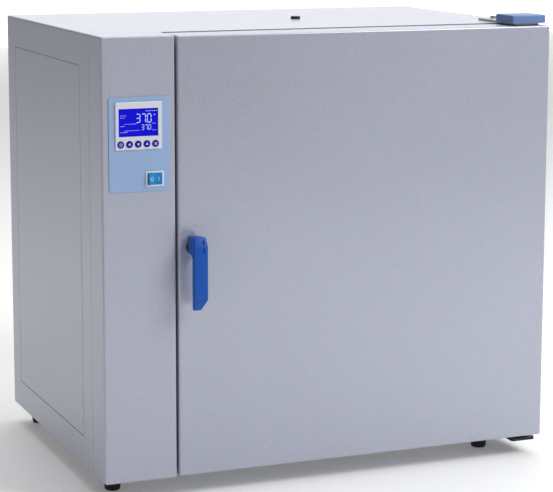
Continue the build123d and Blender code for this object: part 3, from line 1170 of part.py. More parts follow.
# Floor baffle: a bridge of slotted sheet over the heater
BAFFLE_X = (CHAMBER_LEFT + BAFFLE_MARGIN, CHAMBER_RIGHT - BAFFLE_MARGIN)
BAFFLE_Y = (THROAT_BACK + BAFFLE_MARGIN, CHAMBER_BACK - BAFFLE_MARGIN)
BAFFLE_TOP = CHAMBER_LOW + BAFFLE_UP
BAFFLE_SLOT = 44.0
BAFFLE_SLOT_W = 6.0
with BuildPart() as floor_baffle:
    with BuildSketch(upright(BAFFLE_Y[0])):
        with BuildLine():
            half_t = LINER / 2
            Polyline(
                (BAFFLE_X[0] + RETURN_W, CHAMBER_LOW + half_t),
                (BAFFLE_X[0] + half_t, CHAMBER_LOW + half_t),
                (BAFFLE_X[0] + half_t, BAFFLE_TOP - half_t),
                (BAFFLE_X[1] - half_t, BAFFLE_TOP - half_t),
                (BAFFLE_X[1] - half_t, CHAMBER_LOW + half_t),
                (BAFFLE_X[1] - RETURN_W, CHAMBER_LOW + half_t),
            )
        trace(line_width=LINER)
    extrude(amount=BAFFLE_Y[0] - BAFFLE_Y[1])
    with BuildSketch(Plane.XY.offset(BAFFLE_TOP - LINER)):
        with Locations((CHAMBER_X, (BAFFLE_Y[0] + BAFFLE_Y[1]) / 2)):
            with GridLocations(2 * BAFFLE_SLOT, BAFFLE_SLOT, 5, 6):
                SlotOverall(BAFFLE_SLOT, BAFFLE_SLOT_W)
    extrude(amount=LINER, mode=Mode.SUBTRACT)
    notch_x = (BAFFLE_X[0] - LINER, BAFFLE_X[0] + 2 * RETURN_W)
    notch_z = (CHAMBER_LOW, HEATER_Z + 2 * HEATER_R)
    for y in HEATER_LEGS:
        block(notch_x, (y - RETURN_W, y + RETURN_W), notch_z, Mode.SUBTRACT)
floor_baffle.part.label = "floor_baffle"
export_step(floor_baffle.part, "parts/floor_baffle.step")

# Shelf uprights: four slotted channels on the chamber's side walls
UPRIGHT_Y = (THROAT_BACK + UPRIGHT_MARGIN, CHAMBER_BACK - UPRIGHT_MARGIN)
UPRIGHT_Z = (BAFFLE_TOP + 2 * RETURN_W, CHAMBER_HIGH - 4 * RETURN_W)
UPRIGHT_SIDES = ((CHAMBER_LEFT, 1), (CHAMBER_RIGHT, -1))
UPRIGHT_SLOTS = int((UPRIGHT_Z[1] - UPRIGHT_Z[0]) / UPRIGHT_SLOT_PITCH)
SLOT_H = 3.0
SLOT_W = 10.0
with BuildPart() as shelf_uprights:
    for wall_x, side in UPRIGHT_SIDES:
        web = wall_x + side * UPRIGHT_D
        for y in UPRIGHT_Y:
            rail_y = (y - UPRIGHT_W / 2, y + UPRIGHT_W / 2)
            block(sorted((wall_x, web)), rail_y, UPRIGHT_Z)
            hollow_y = (rail_y[0] + LINER, rail_y[1] - LINER)
            block(sorted((wall_x, web - side * LINER)), hollow_y, UPRIGHT_Z, Mode.SUBTRACT)
            for n in range(UPRIGHT_SLOTS):
                z = UPRIGHT_Z[0] + (n + 0.5) * UPRIGHT_SLOT_PITCH
                slot_x = sorted((web - side * 2 * LINER, web + side * LINER))
                slot_y = (y - SLOT_W / 2, y + SLOT_W / 2)
                block(slot_x, slot_y, (z - SLOT_H / 2, z + SLOT_H / 2), Mode.SUBTRACT)
shelf_uprights.part.label = "shelf_uprights"
export_step(shelf_uprights.part, "parts/shelf_uprights.step")


def slot_near(up):
    """The height of the upright's slot nearest to a height above the chamber's floor."""
    first = UPRIGHT_Z[0] + 0.5 * UPRIGHT_SLOT_PITCH
    steps = round((CHAMBER_LOW + up - first) / UPRIGHT_SLOT_PITCH)
    return first + min(max(steps, 0), UPRIGHT_SLOTS - 1) * UPRIGHT_SLOT_PITCH


# Shelf clips: each hooks into a slot and holds a corner of a shelf
CLIP_T = 1.6
CLIP_REACH = 12.0
CLIP_W = 9.0
SHELF_SLOTS = [slot_near(up) for up in SHELF_UPS]
with BuildPart() as shelf_clips:
    for wall_x, side in UPRIGHT_SIDES:
        web = wall_x + side * UPRIGHT_D
        for y in UPRIGHT_Y:
            for z in SHELF_SLOTS:
                face = web + side * FIT
                inside = web - side * (LINER + FIT + CLIP_T)
                reach = face + side * CLIP_REACH
                tongue = (z - CLIP_T / 2, z + CLIP_T / 2)
                wide = (y - CLIP_W / 2, y + CLIP_W / 2)
                block(sorted((inside, reach)), wide, tongue)
                block(sorted((inside, inside + side * CLIP_T)), wide, (z - 4 * CLIP_T, z))
                block(sorted((face, face + side * CLIP_T)), wide, (z - 6 * CLIP_T, z))
shelf_clips.part.label = "shelf_clips"
export_step(shelf_clips.part, "parts/shelf_clips.step")

# Wire shelves: a bent frame with two stiffeners and a row of welded wires
SHELF_X = (CHAMBER_LEFT + UPRIGHT_D + LINER, CHAMBER_RIGHT - UPRIGHT_D - LINER)
SHELF_Y = (THROAT_BACK + SHELF_MARGIN, CHAMBER_BACK - SHELF_MARGIN)
SHELF_CORNER = 20.0
FRAME_IN = SHELF_FRAME_R
WIRES = int((SHELF_X[1] - SHELF_X[0] - 2 * SHELF_CORNER) / SHELF_PITCH)
for name, slot_z in zip(("shelf_lower", "shelf_upper"), SHELF_SLOTS):
    rest = slot_z + CLIP_T / 2 + SHELF_FRAME_R + FIT
    sides = (SHELF_X[0] + FRAME_IN, SHELF_X[1] - FRAME_IN)
    ends = (SHELF_Y[0] + FRAME_IN, SHELF_Y[1] - FRAME_IN)
    with BuildPart() as shelf:
        with BuildSketch(Plane.XY.offset(rest), mode=Mode.PRIVATE) as loop:
            with Locations((CHAMBER_X, (ends[0] + ends[1]) / 2)):
                RectangleRounded(sides[1] - sides[0], ends[1] - ends[0], SHELF_CORNER)
        with BuildSketch(Plane(origin=(CHAMBER_X, ends[0], rest), z_dir=(1, 0, 0))):
            Circle(SHELF_FRAME_R)
        sweep(path=loop.sketch.wire())
        for n in range(WIRES + 1):
            x = CHAMBER_X + (n - WIRES / 2) * SHELF_PITCH
            round_bar("Y", SHELF_WIRE_R, ends, (x, rest))
        for y in (ends[0] + SHELF_CORNER * 5, ends[1] - SHELF_CORNER * 5):
            round_bar("X", SHELF_FRAME_R * 0.8, sides, (y, rest - SHELF_WIRE_R))
    shelf.part.label = name
    export_step(shelf.part, f"parts/{name}.step")

# Temperature probe: a sheath through the left wall with a gland on the plate
with BuildPart() as temperature_probe:
    sheath = (ELECTRICS_LEFT - 4 * PROBE_R, CHAMBER_LEFT + PROBE_REACH)
    round_bar("X", PROBE_R, sheath, (PROBE_Y, PROBE_Z))
    with BuildSketch(Plane.YZ.offset(ELECTRICS_LEFT - 2 * PROBE_R)):
        with Locations((PROBE_Y, PROBE_Z)):
            RegularPolygon(2 * PROBE_R, 6)
    extrude(amount=2 * PROBE_R - FIT)
temperature_probe.part.label = "temperature_probe"
export_step(temperature_probe.part, "parts/temperature_probe.step")

# Power supply: a folded can with a terminal step, on the electrics plate
SUPPLY_Y = (FRONT + SUPPLY_BACK, FRONT + SUPPLY_BACK + SUPPLY_W)
SUPPLY_Z = (LOW + SUPPLY_UP, LOW + SUPPLY_UP + SUPPLY_H)
SUPPLY_STEP = 16.0
SUPPLY_HOLE_R = 3.0
SUPPLY_HOLE_PITCH = (14.0, 12.0)
with BuildPart() as power_supply:
    with BuildSketch(Plane.XY.offset(SUPPLY_Z[0])):
        with BuildLine():
            face_x = ELECTRICS_LEFT - SUPPLY_T
            Polyline(
                (ELECTRICS_LEFT, SUPPLY_Y[0]),
                (ELECTRICS_LEFT - SUPPLY_STEP, SUPPLY_Y[0]),
                (ELECTRICS_LEFT - SUPPLY_STEP, SUPPLY_Y[0] + SUPPLY_STEP),
                (face_x, SUPPLY_Y[0] + SUPPLY_STEP),
                (face_x, SUPPLY_Y[1]),
                (ELECTRICS_LEFT, SUPPLY_Y[1]),
                close=True,
            )
        make_face()
    extrude(amount=SUPPLY_Z[1] - SUPPLY_Z[0])
    with BuildSketch(Plane.YZ.offset(face_x)):
        with Locations(((SUPPLY_Y[0] + SUPPLY_STEP + SUPPLY_Y[1]) / 2, (SUPPLY_Z[0] + SUPPLY_Z[1]) / 2)):
            with GridLocations(*SUPPLY_HOLE_PITCH, 4, 10):
                Circle(SUPPLY_HOLE_R)
    extrude(amount=SHEET, mode=Mode.SUBTRACT)
power_supply.part.label = "power_supply"
export_step(power_supply.part, "parts/power_supply.step")

# Solid state relay on its finned heat sink
RELAY_Y = (FRONT + SINK_BACK, FRONT + SINK_BACK + SINK_W)
RELAY_Z = (LOW + SINK_UP, LOW + SINK_UP + SINK_H)
FIN_COUNT = 9
FIN_T = 2.0
FIN_D = 24.0
SINK_BASE = 5.0
with BuildPart() as heat_sink:
    block((ELECTRICS_LEFT - SINK_BASE - FIN_D, ELECTRICS_LEFT), RELAY_Y, RELAY_Z)
    gap_w = (RELAY_Y[1] - RELAY_Y[0] - FIN_COUNT * FIN_T) / (FIN_COUNT - 1)
    for n in range(FIN_COUNT - 1):
        y = RELAY_Y[0] + FIN_T + n * (FIN_T + gap_w)
        gap_x = (ELECTRICS_LEFT - FIN_D, ELECTRICS_LEFT)
        block(gap_x, (y, y + gap_w), RELAY_Z, Mode.SUBTRACT)
heat_sink.part.label = "heat_sink"
export_step(heat_sink.part, "parts/heat_sink.step")

EAR_T = 17.0
RELAY_SCREW_R = 4.0
RELAY_SCREW_H = 2.0
RELAY_SCREW_X = 12.0
with BuildPart() as solid_state_relay:
    relay_back = ELECTRICS_LEFT - SINK_BASE - FIN_D
    relay_y = (RELAY_Y[0] + RELAY_Y[1]) / 2
    relay_z = (RELAY_Z[0] + RELAY_Z[1]) / 2
    relay_span = (relay_y - RELAY_W / 2, relay_y + RELAY_W / 2)
    block((relay_back - RELAY_T, relay_back), relay_span, (relay_z - RELAY_H / 2, relay_z + RELAY_H / 2))
    ear_x = (relay_back - RELAY_T, relay_back - EAR_T)
    screw_x = (relay_back - EAR_T - RELAY_SCREW_H, relay_back - EAR_T)
    for side in (-1, 1):
        edge = relay_z + side * RELAY_H / 2
        block(ear_x, relay_span, sorted((edge, edge - side * RELAY_H / 4)), Mode.SUBTRACT)
        for y in (relay_y - RELAY_SCREW_X, relay_y + RELAY_SCREW_X):
            round_bar("X", RELAY_SCREW_R, screw_x, (y, edge - side * RELAY_H / 8))
solid_state_relay.part.label = "solid_state_relay"
export_step(solid_state_relay.part, "parts/solid_state_relay.step")

# Terminal block: a row of ways with screw wells
WAY_PITCH = 11.0
WAYS = 8
TERMINAL_D = 22.0
TERMINAL_H = 18.0
TERMINAL_WELL_R = 3.2
TERMINAL_Y = FRONT + TERMINAL_BACK
TERMINAL_Z = LOW + TERMINAL_UP
with BuildPart() as terminal_block:
    long_z = (TERMINAL_Z, TERMINAL_Z + WAYS * WAY_PITCH)
    block((ELECTRICS_LEFT - TERMINAL_H, ELECTRICS_LEFT), (TERMINAL_Y, TERMINAL_Y + TERMINAL_D), long_z)
    for n in range(WAYS):
        z = TERMINAL_Z + (n + 0.5) * WAY_PITCH
        for y in (TERMINAL_Y + TERMINAL_D / 4, TERMINAL_Y + TERMINAL_D * 3 / 4):
            well = (ELECTRICS_LEFT - TERMINAL_H, ELECTRICS_LEFT - TERMINAL_H / 2)
            round_bar("X", TERMINAL_WELL_R, well, (y, z), Mode.SUBTRACT)
terminal_block.part.label = "terminal_block"
export_step(terminal_block.part, "parts/terminal_block.step")

# Mains inlet: a flanged appliance socket with three pins in its well
INLET_FLANGE = 2.5
INLET_R = 3.0
INLET_D = 20.0
INLET_WELL_D = 15.0
INLET_PIN = (2.0, 4.0)
INLET_PIN_PITCH = 7.0
INLET_PIN_UP = 2.0  # middle pin above the well's middle, the outer two as far below
with BuildPart() as mains_inlet:
    with BuildSketch(upright(REAR_PANEL_BACK)):
        with Locations(INLET_AT):
            RectangleRounded(INLET_W + 2 * INLET_LIP, INLET_H + 2 * INLET_LIP, INLET_R)
    extrude(amount=-INLET_FLANGE)
    with BuildSketch(upright(REAR_PANEL_BACK)):
        with Locations(INLET_AT):
            Rectangle(INLET_W, INLET_H)
    extrude(amount=INLET_D)
    with BuildSketch(upright(REAR_PANEL_BACK + INLET_FLANGE)) as well:
        with Locations(INLET_AT):
            Rectangle(INLET_WELL_W, INLET_WELL_H)
        chamfer(well.vertices().group_by(Axis.Y)[-1], INLET_KEY)
    extrude(amount=INLET_WELL_D + INLET_FLANGE, mode=Mode.SUBTRACT)
    with BuildSketch(upright(REAR_PANEL_BACK - INLET_WELL_D)):
        for side in (-1, 0, 1):
            rise = INLET_PIN_UP if side == 0 else -INLET_PIN_UP
            with Locations((INLET_AT[0] + side * INLET_PIN_PITCH, INLET_AT[1] + rise)):
                Rectangle(*INLET_PIN)
    extrude(amount=-INLET_WELL_D)
mains_inlet.part.label = "mains_inlet"
export_step(mains_inlet.part, "parts/mains_inlet.step")

# Fuse holder: a screw-in carrier with a slotted cap
FUSE_CAP_T = 2.6
FUSE_NUT_T = 3.0
FUSE_SLOT = (10.0, 1.2)
with BuildPart() as fuse_holder:
    round_bar("Y", FUSE_R, (REAR_PANEL_FRONT - FUSE_L, REAR_PANEL_BACK), FUSE_AT)
    round_bar("Y", FUSE_CAP_R, (REAR_PANEL_BACK, REAR_PANEL_BACK + FUSE_CAP_T), FUSE_AT)
    nut_back = REAR_PANEL_FRONT - FIT
    round_bar("Y", FUSE_CAP_R, (nut_back - FUSE_NUT_T, nut_back), FUSE_AT)
    with BuildSketch(upright(REAR_PANEL_BACK + FUSE_CAP_T)):
        with Locations(FUSE_AT):
            Rectangle(*FUSE_SLOT)
    extrude(amount=FUSE_SLOT[1], mode=Mode.SUBTRACT)
fuse_holder.part.label = "fuse_holder"
export_step(fuse_holder.part, "parts/fuse_holder.step")

# Vent tube from the chamber's ceiling to the top of the case, and its plug
PLUG_STEM = 20.0
with BuildPart() as vent_tube:
    round_bar("Z", VENT_R, (CHAMBER_HIGH, HIGH - SHEET), VENT_AT)
    round_bar("Z", VENT_BORE_R, (CHAMBER_HIGH - LINER, HIGH), VENT_AT, Mode.SUBTRACT)
vent_tube.part.label = "vent_tube"
export_step(vent_tube.part, "parts/vent_tube.step")

with BuildPart() as vent_plug:
    round_bar("Z", PLUG_R, (HIGH + RUNNING, HIGH + PLUG_H), VENT_AT)
    fillet(vent_plug.faces().sort_by(Axis.Z)[-1].edges(), PLUG_H / 4)
    round_bar("Z", VENT_BORE_R - RUNNING, (HIGH - PLUG_STEM, HIGH + RUNNING), VENT_AT)
vent_plug.part.label = "vent_plug"
export_step(vent_plug.part, "parts/vent_plug.step")

# Feet: tapered rubber with a screw well from below
with BuildPart() as feet:
    foot_top = PAN_LOW
    for x, y in FEET:
        with BuildSketch(upright(y)):
            with BuildLine():
                Polyline(
                    (x + M6_R + FIT, foot_top),
                    (x + FOOT_R, foot_top),
                    (x + FOOT_R, foot_top - FOOT_WEB),
                    (x + FOOT_TIP_R + FOOT_EDGE, FOOT_EDGE),
                    (x + FOOT_TIP_R, 0),
                    (x + M6_HEAD_R + 2 * FIT, 0),
                    (x + M6_HEAD_R + 2 * FIT, foot_top - FOOT_WEB),
                    (x + M6_R + FIT, foot_top - FOOT_WEB),
                    close=True,
                )
            make_face()
        revolve(axis=Axis((x, y, 0), (0, 0, 1)))
feet.part.label = "feet"
export_step(feet.part, "parts/feet.step")

# M6 screws of the hinge brackets and the feet
with BuildPart() as m6_screws:
    for x, y in UPPER_SCREWS:
        seat = HIGH + BRACKET_T
        round_bar("Z", M6_HEAD_R, (seat, seat + M6_HEAD_H), (x, y))
        round_bar("Z", M6_R, (seat - M6_LENGTH, seat), (x, y))
    lower_seats = [(at, LOWER_BRACKET_TOP) for at in LOWER_SCREWS]
    foot_seats = [(at, foot_top - FOOT_WEB) for at in FEET]
    for (x, y), seat in lower_seats + foot_seats:
        round_bar("Z", M6_HEAD_R, (seat - M6_HEAD_H, seat), (x, y))
        round_bar("Z", M6_R, (seat, seat + M6_LENGTH), (x, y))
m6_screws.part.label = "m6_screws"
export_step(m6_screws.part, "parts/m6_screws.step")

# Countersunk M4 screws of the service panel, the rear panel and the latch keeper
with BuildPart() as m4_screws:
    for at in SERVICE_SCREWS:
        countersunk("X", LEFT, 1, at)
    for at in REAR_SCREWS:
        countersunk("Y", REAR_PANEL_BACK, -1, at)
    for at in KEEPER_SCREWS:
        countersunk("Y", CASE_FRONT, 1, at)
m4_screws.part.label = "m4_screws"
export_step(m4_screws.part, "parts/m4_screws.step")
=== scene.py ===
# %% [markdown]
# # A bench incubator, dressed
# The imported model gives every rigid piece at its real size: case, door, hinges, latch,
# chamber. This lesson finishes it. Each surface gets a procedural material, and the
# mouldings that catch the eye get softer edges than their plain solids have.

import json
import math

import bmesh
import bpy
from mathutils import Matrix, Vector


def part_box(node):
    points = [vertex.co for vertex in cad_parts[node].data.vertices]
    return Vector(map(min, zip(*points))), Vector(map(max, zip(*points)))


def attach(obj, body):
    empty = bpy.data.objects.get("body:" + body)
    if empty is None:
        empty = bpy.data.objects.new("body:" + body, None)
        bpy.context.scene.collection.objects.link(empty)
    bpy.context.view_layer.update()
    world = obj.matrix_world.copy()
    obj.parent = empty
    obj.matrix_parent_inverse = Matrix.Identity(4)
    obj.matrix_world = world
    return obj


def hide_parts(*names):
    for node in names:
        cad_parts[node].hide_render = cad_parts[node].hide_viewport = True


MM = 0.001

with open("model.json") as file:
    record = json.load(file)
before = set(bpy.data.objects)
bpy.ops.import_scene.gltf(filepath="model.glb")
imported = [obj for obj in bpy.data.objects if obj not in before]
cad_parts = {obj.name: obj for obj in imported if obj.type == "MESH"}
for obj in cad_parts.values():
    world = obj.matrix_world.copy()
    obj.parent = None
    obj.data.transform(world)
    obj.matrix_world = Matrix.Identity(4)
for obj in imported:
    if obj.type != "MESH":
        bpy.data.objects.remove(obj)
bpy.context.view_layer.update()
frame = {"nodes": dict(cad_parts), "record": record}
record = frame["record"]

# %% [markdown]
# ## Camera
# The view is from the left of the front and a little above. The lens is long, because
# the case shows little perspective. The small downward shift keeps the upright edges
# nearly parallel, as a product photographer would.

# %% Camera
LENS_MM = 128.31
SENSOR_MM = 36.0
SHIFT_DOWN = 0.08
TURN = math.radians(22.286)
LOOK_DOWN = math.radians(9.072)
ROLL = math.radians(0.117)
CAMERA_PLACE = (-1.3399, -3.2779, 1.0123)

camera_data = bpy.data.cameras.new("camera")
camera_data.lens = LENS_MM
camera_data.sensor_width = SENSOR_MM
camera_data.shift_y = -SHIFT_DOWN
camera = bpy.data.objects.new("camera", camera_data)
bpy.context.scene.collection.objects.link(camera)
aim = Matrix.Rotation(-TURN, 4, "Z") @ Matrix.Rotation(math.pi / 2 - LOOK_DOWN, 4, "X")
camera.matrix_world = Matrix.Translation(CAMERA_PLACE) @ aim @ Matrix.Rotation(ROLL, 4, "Z")
bpy.context.scene.camera = camera
print("camera", [round(v, 3) for v in camera.location])

# %% [markdown]
# ## Light
# A broad lamp overhead whitens the floor and the top. A smaller one stands before the
# door, to the right, so the left side falls into mild shade. The world adds a little
# even light. The plain view transform keeps the blues as deep as they are on the object.

# %% Light
WORLD_STRENGTH = 0.22
WHITE = (1.0, 1.0, 1.0, 1.0)

bpy.context.scene.view_settings.view_transform = "Standard"
world = bpy.data.worlds.new("studio")
bpy.context.scene.world = world
world.use_nodes = True
sky = world.node_tree.nodes["Background"]
sky.inputs["Color"].default_value = WHITE
sky.inputs["Strength"].default_value = WORLD_STRENGTH


def area_light(name, place, target, size, power):
    """A square soft light that faces a point. Places are in metres, the power in watts."""
    data = bpy.data.lights.new(name, "AREA")
    data.size = size
    data.energy = power
    lamp = bpy.data.objects.new(name, data)
    bpy.context.scene.collection.objects.link(lamp)
    lamp.location = place
    lamp.rotation_euler = (Vector(target) - Vector(place)).to_track_quat("-Z", "Y").to_euler()


area_light("overhead", place=(0.4, 0.9, 4.0), target=(0, 0.2, 0), size=4.0, power=100)
area_light("front", place=(2.0, -2.3, 2.9), target=(0.3, -0.3, 0.9), size=1.6, power=88)

# %% [markdown]
# ## Node groups
# An effect that several finishes share is a node group with named inputs. The paint has
# fine metallic flakes, mouldings have a spark-eroded grain, sheet steel is brushed, and
# a little dust lies on what faces up.


# %% Node group helpers
def socket(group, name, kind, direction, value=None):
    """Adds a named socket to a group."""
    kind = f"NodeSocket{kind}"
    made = group.interface.new_socket(name=name, in_out=direction, socket_type=kind)
    if value is not None:
        made.default_value = value


def start_group(name, inputs, outputs):
    """A shader group with its sockets and its two end nodes."""
    group = bpy.data.node_groups.new(name, "ShaderNodeTree")
    for label, kind, value in inputs:
        socket(group, label, kind, "INPUT", value)
    for label, kind in outputs:
        socket(group, label, kind, "OUTPUT")
    return group, group.nodes.new("NodeGroupInput"), group.nodes.new("NodeGroupOutput")


def deliver(group, end, results):
    """Links values to a group's outputs, by name."""
    for label, source in results.items():
        group.links.new(source, end.inputs[label])
    return group


def feed(tree, node, links):
    """Links or sets the inputs of a node, by name or number."""
    for label, source in links:
        if isinstance(source, bpy.types.NodeSocket):
            tree.links.new(source, node.inputs[label])
        else:
            node.inputs[label].default_value = source


def add_node(tree, kind, links=(), **settings):
    """A node with its settings and its inputs."""
    node = tree.nodes.new(f"ShaderNode{kind}")
    for key, value in settings.items():
        setattr(node, key, value)
    feed(tree, node, links)
    return node


def maths(tree, operation, first, second=None, third=None):
    """A Math node, fed with sockets or numbers."""
    terms = [(n, term) for n, term in enumerate((first, second, third)) if term is not None]
    return add_node(tree, "Math", terms, operation=operation).outputs[0]


def blend_colours(tree, factor, first, second):
    """A colour Mix node. Its colour sockets have the numbers 6 and 7."""
    links = [(0, factor), (6, first), (7, second)]
    return add_node(tree, "Mix", links, data_type="RGBA", blend_type="MIX").outputs[2]


def object_place(tree, scale=(1.0, 1.0, 1.0)):
    """Object coordinates, stretched along the axes."""
    links = [("Vector", add_node(tree, "TexCoord").outputs["Object"]), ("Scale", scale)]
    return add_node(tree, "Mapping", links).outputs["Vector"]


def noise(tree, place, scale, detail=2.0, roughness=0.5):
    """A noise value round one half."""
    links = [("Vector", place), ("Scale", scale), ("Detail", detail), ("Roughness", roughness)]
    return add_node(tree, "TexNoise", links).outputs["Fac"]


def ramp_between(tree, value, low, high, to_low=0.0, to_high=1.0):
    """Maps a range of values to another, clamped."""
    links = [("Value", value), ("From Min", low), ("From Max", high)]
    links += [("To Min", to_low), ("To Max", to_high)]
    return add_node(tree, "MapRange", links).outputs["Result"]


def swing(tree, value, amount):
    """A value round one half, made to swing round zero by an amount."""
    return maths(tree, "MULTIPLY", maths(tree, "SUBTRACT", value, 0.5), amount)


def scaled_colour(tree, colour, level):
    """A colour times a level."""
    links = [(0, colour), ("Scale", level)]
    return add_node(tree, "VectorMath", links, operation="SCALE").outputs[0]


GREY = (0.5, 0.5, 0.5, 1.0)
SURFACE = [("Color", "Color"), ("Roughness", "Float"), ("Height", "Float")]

# %% Metallic flakes
CLOUD_SCALE = 5.0
FLAKE_ROUGHNESS = (0.3, 0.42)
PEEL_SCALE = 420.0


def make_flake_group():
    """Silver paint: tiny flakes that differ in brightness over a slightly cloudy coat."""
    inputs = [
        ("Coat", "Color", GREY),
        ("Flake Scale", "Float", 900.0),
        ("Flake Amount", "Float", 0.1),
        ("Cloud Amount", "Float", 0.05),
    ]
    group, enter, end = start_group("metallic_flakes", inputs, SURFACE)
    place = object_place(group)
    links = [("Vector", place), ("Scale", enter.outputs["Flake Scale"])]
    cells = add_node(group, "TexVoronoi", links).outputs["Color"]
    flake = add_node(group, "SeparateColor", [("Color", cells)]).outputs[0]
    cloud = noise(group, place, CLOUD_SCALE, detail=4.0)
    flake_shift = swing(group, flake, enter.outputs["Flake Amount"])
    cloud_shift = swing(group, cloud, enter.outputs["Cloud Amount"])
    level = maths(group, "ADD", 1.0, maths(group, "ADD", flake_shift, cloud_shift))
    return deliver(group, end, {
        "Color": scaled_colour(group, enter.outputs["Coat"], level),
        "Roughness": ramp_between(group, flake, 0.0, 1.0, *FLAKE_ROUGHNESS),
        "Height": noise(group, place, PEEL_SCALE, detail=1.0),
    })


# %% Moulded grain
TONE_SCALE = 14.0
GRAIN_ROUGHNESS = 0.12


def make_grain_group():
    """Moulded plastic or rubber: fine eroded grain, and a slight unevenness of tone."""
    inputs = [
        ("Base", "Color", GREY),
        ("Grain Scale", "Float", 700.0),
        ("Tone Amount", "Float", 0.08),
        ("Smooth", "Float", 0.35),
    ]
    group, enter, end = start_group("moulded_grain", inputs, SURFACE)
    place = object_place(group)
    grain = noise(group, place, enter.outputs["Grain Scale"], detail=3.0)
    cloud = noise(group, place, TONE_SCALE, detail=3.0)
    level = maths(group, "ADD", 1.0, swing(group, cloud, enter.outputs["Tone Amount"]))
    smooth = enter.outputs["Smooth"]
    return deliver(group, end, {
        "Color": scaled_colour(group, enter.outputs["Base"], level),
        "Roughness": maths(group, "MULTIPLY_ADD", grain, GRAIN_ROUGHNESS, smooth),
        "Height": grain,
    })


# %% Brushed steel
LINE_STRETCH = (1.0, 14.0, 14.0)
LINE_AMOUNT = 0.3
SMEAR_SCALE = 9.0
SMEAR_ROUGHNESS = 0.16


def make_brushed_group():
    """Rolled and brushed sheet: long fine lines along the sheet's width."""
    inputs = [
        ("Base", "Color", (0.6, 0.6, 0.6, 1.0)),
        ("Line Scale", "Float", 60.0),
        ("Smooth", "Float", 0.28),
    ]
    group, enter, end = start_group("brushed_sheet", inputs, SURFACE)
    stretched = object_place(group, LINE_STRETCH)
    lines = noise(group, stretched, enter.outputs["Line Scale"], detail=4.0, roughness=0.65)
    smear = noise(group, object_place(group), SMEAR_SCALE, detail=3.0)
    shift = maths(group, "SUBTRACT", lines, 0.5)
    level = maths(group, "MULTIPLY_ADD", shift, LINE_AMOUNT, 1.0)
    smooth = enter.outputs["Smooth"]
    return deliver(group, end, {
        "Color": scaled_colour(group, enter.outputs["Base"], level),
        "Roughness": maths(group, "MULTIPLY_ADD", smear, SMEAR_ROUGHNESS, smooth),
        "Height": lines,
    })


# %% Settled dust
DUST_COLOUR = (0.72, 0.7, 0.66, 1.0)
FACES_UP = (0.5, 0.95)
PATCH_SCALE = 22.0
PATCH_RANGE = (0.35, 0.7)


def make_dust_group():
    """Fine dust on faces that look up, broken into faint patches."""
    inputs = [("Color", "Color", GREY), ("Amount", "Float", 0.1)]
    group, enter, end = start_group("settled_dust", inputs, [("Color", "Color")])
    normal = add_node(group, "NewGeometry").outputs["Normal"]
    height = add_node(group, "SeparateXYZ", [(0, normal)]).outputs["Z"]
    up = ramp_between(group, height, *FACES_UP)
    cloud = noise(group, object_place(group), PATCH_SCALE, detail=5.0, roughness=0.6)
    patches = ramp_between(group, cloud, *PATCH_RANGE)
    cover = maths(group, "MULTIPLY", up, patches)
    cover = maths(group, "MULTIPLY", cover, enter.outputs["Amount"])
    dusty = blend_colours(group, cover, enter.outputs["Color"], DUST_COLOUR)
    return deliver(group, end, {"Color": dusty})


GROUPS = {
    "flakes": make_flake_group(),
    "grain": make_grain_group(),
    "brushed": make_brushed_group(),
    "dust": make_dust_group(),
}
print("groups", sorted(GROUPS))

# %% [markdown]
# ## Finishes
# One function makes every finish: a surface group gives colour, roughness and height,
# dust goes over the colour, and plain numbers such as metallic stay on the shader.

# %% Finishes
BUMP_DEPTH = 0.4 * MM
FINISHES = {}


def linear(red, green, blue):
    """A colour given as 0 to 255 steps of a screen, as linear light."""
    steps = [value / 255 for value in (red, green, blue)]
    light = [v / 12.92 if v <= 0.04045 else ((v + 0.055) / 1.055) ** 2.4 for v in steps]
    return (*light, 1.0)


def group_node(tree, name, settings):
    """A node of one of the groups, with inputs set by name or number."""
    node = tree.nodes.new("ShaderNodeGroup")
    node.node_tree = GROUPS[name]
    feed(tree, node, settings)
    return node


def finish(name, group, colour, inputs=(), bump=0.05, dust=0.0, **shader):
    """A material from a surface group, with the shader's own plain numbers."""
    material = bpy.data.materials.new(name)
    material.use_nodes = True
    tree = material.node_tree
    surface = tree.nodes["Principled BSDF"]
    source = group_node(tree, group, [(0, linear(*colour)), *inputs])
    colour_out = source.outputs["Color"]
    if dust:
        layer = group_node(tree, "dust", [("Color", colour_out), ("Amount", dust)])
        colour_out = layer.outputs["Color"]
    relief = [("Height", source.outputs["Height"]), ("Strength", bump), ("Distance", BUMP_DEPTH)]
    feed(tree, surface, [
        ("Base Color", colour_out),
        ("Roughness", source.outputs["Roughness"]),
        ("Normal", add_node(tree, "Bump", relief).outputs["Normal"]),
    ])
    for label, value in shader.items():
        label = label.replace("_", " ").title().replace("Ior", "IOR")
        surface.inputs[label].default_value = value
    FINISHES[name] = material


# %% Sheet and metal
finish(
    "silver_paint", "flakes", (178, 181, 196), [("Flake Amount", 0.16)],
    dust=0.1, metallic=0.35, coat_weight=0.15,
)
finish("silver_moulding", "flakes", (224, 225, 236), [("Flake Amount", 0.05)], metallic=0.2)
finish("zinc_plated_steel", "brushed", (186, 187, 190), metallic=0.9)
finish("stainless_steel", "brushed", (200, 200, 198), metallic=0.95)
finish("polished_wire", "brushed", (214, 214, 216), [("Smooth", 0.08)], metallic=1.0)
finish("bright_steel", "brushed", (200, 200, 204), [("Smooth", 0.12)], metallic=1.0)
finish("aluminium_parts", "brushed", (208, 208, 210), [("Smooth", 0.36)], metallic=0.9)

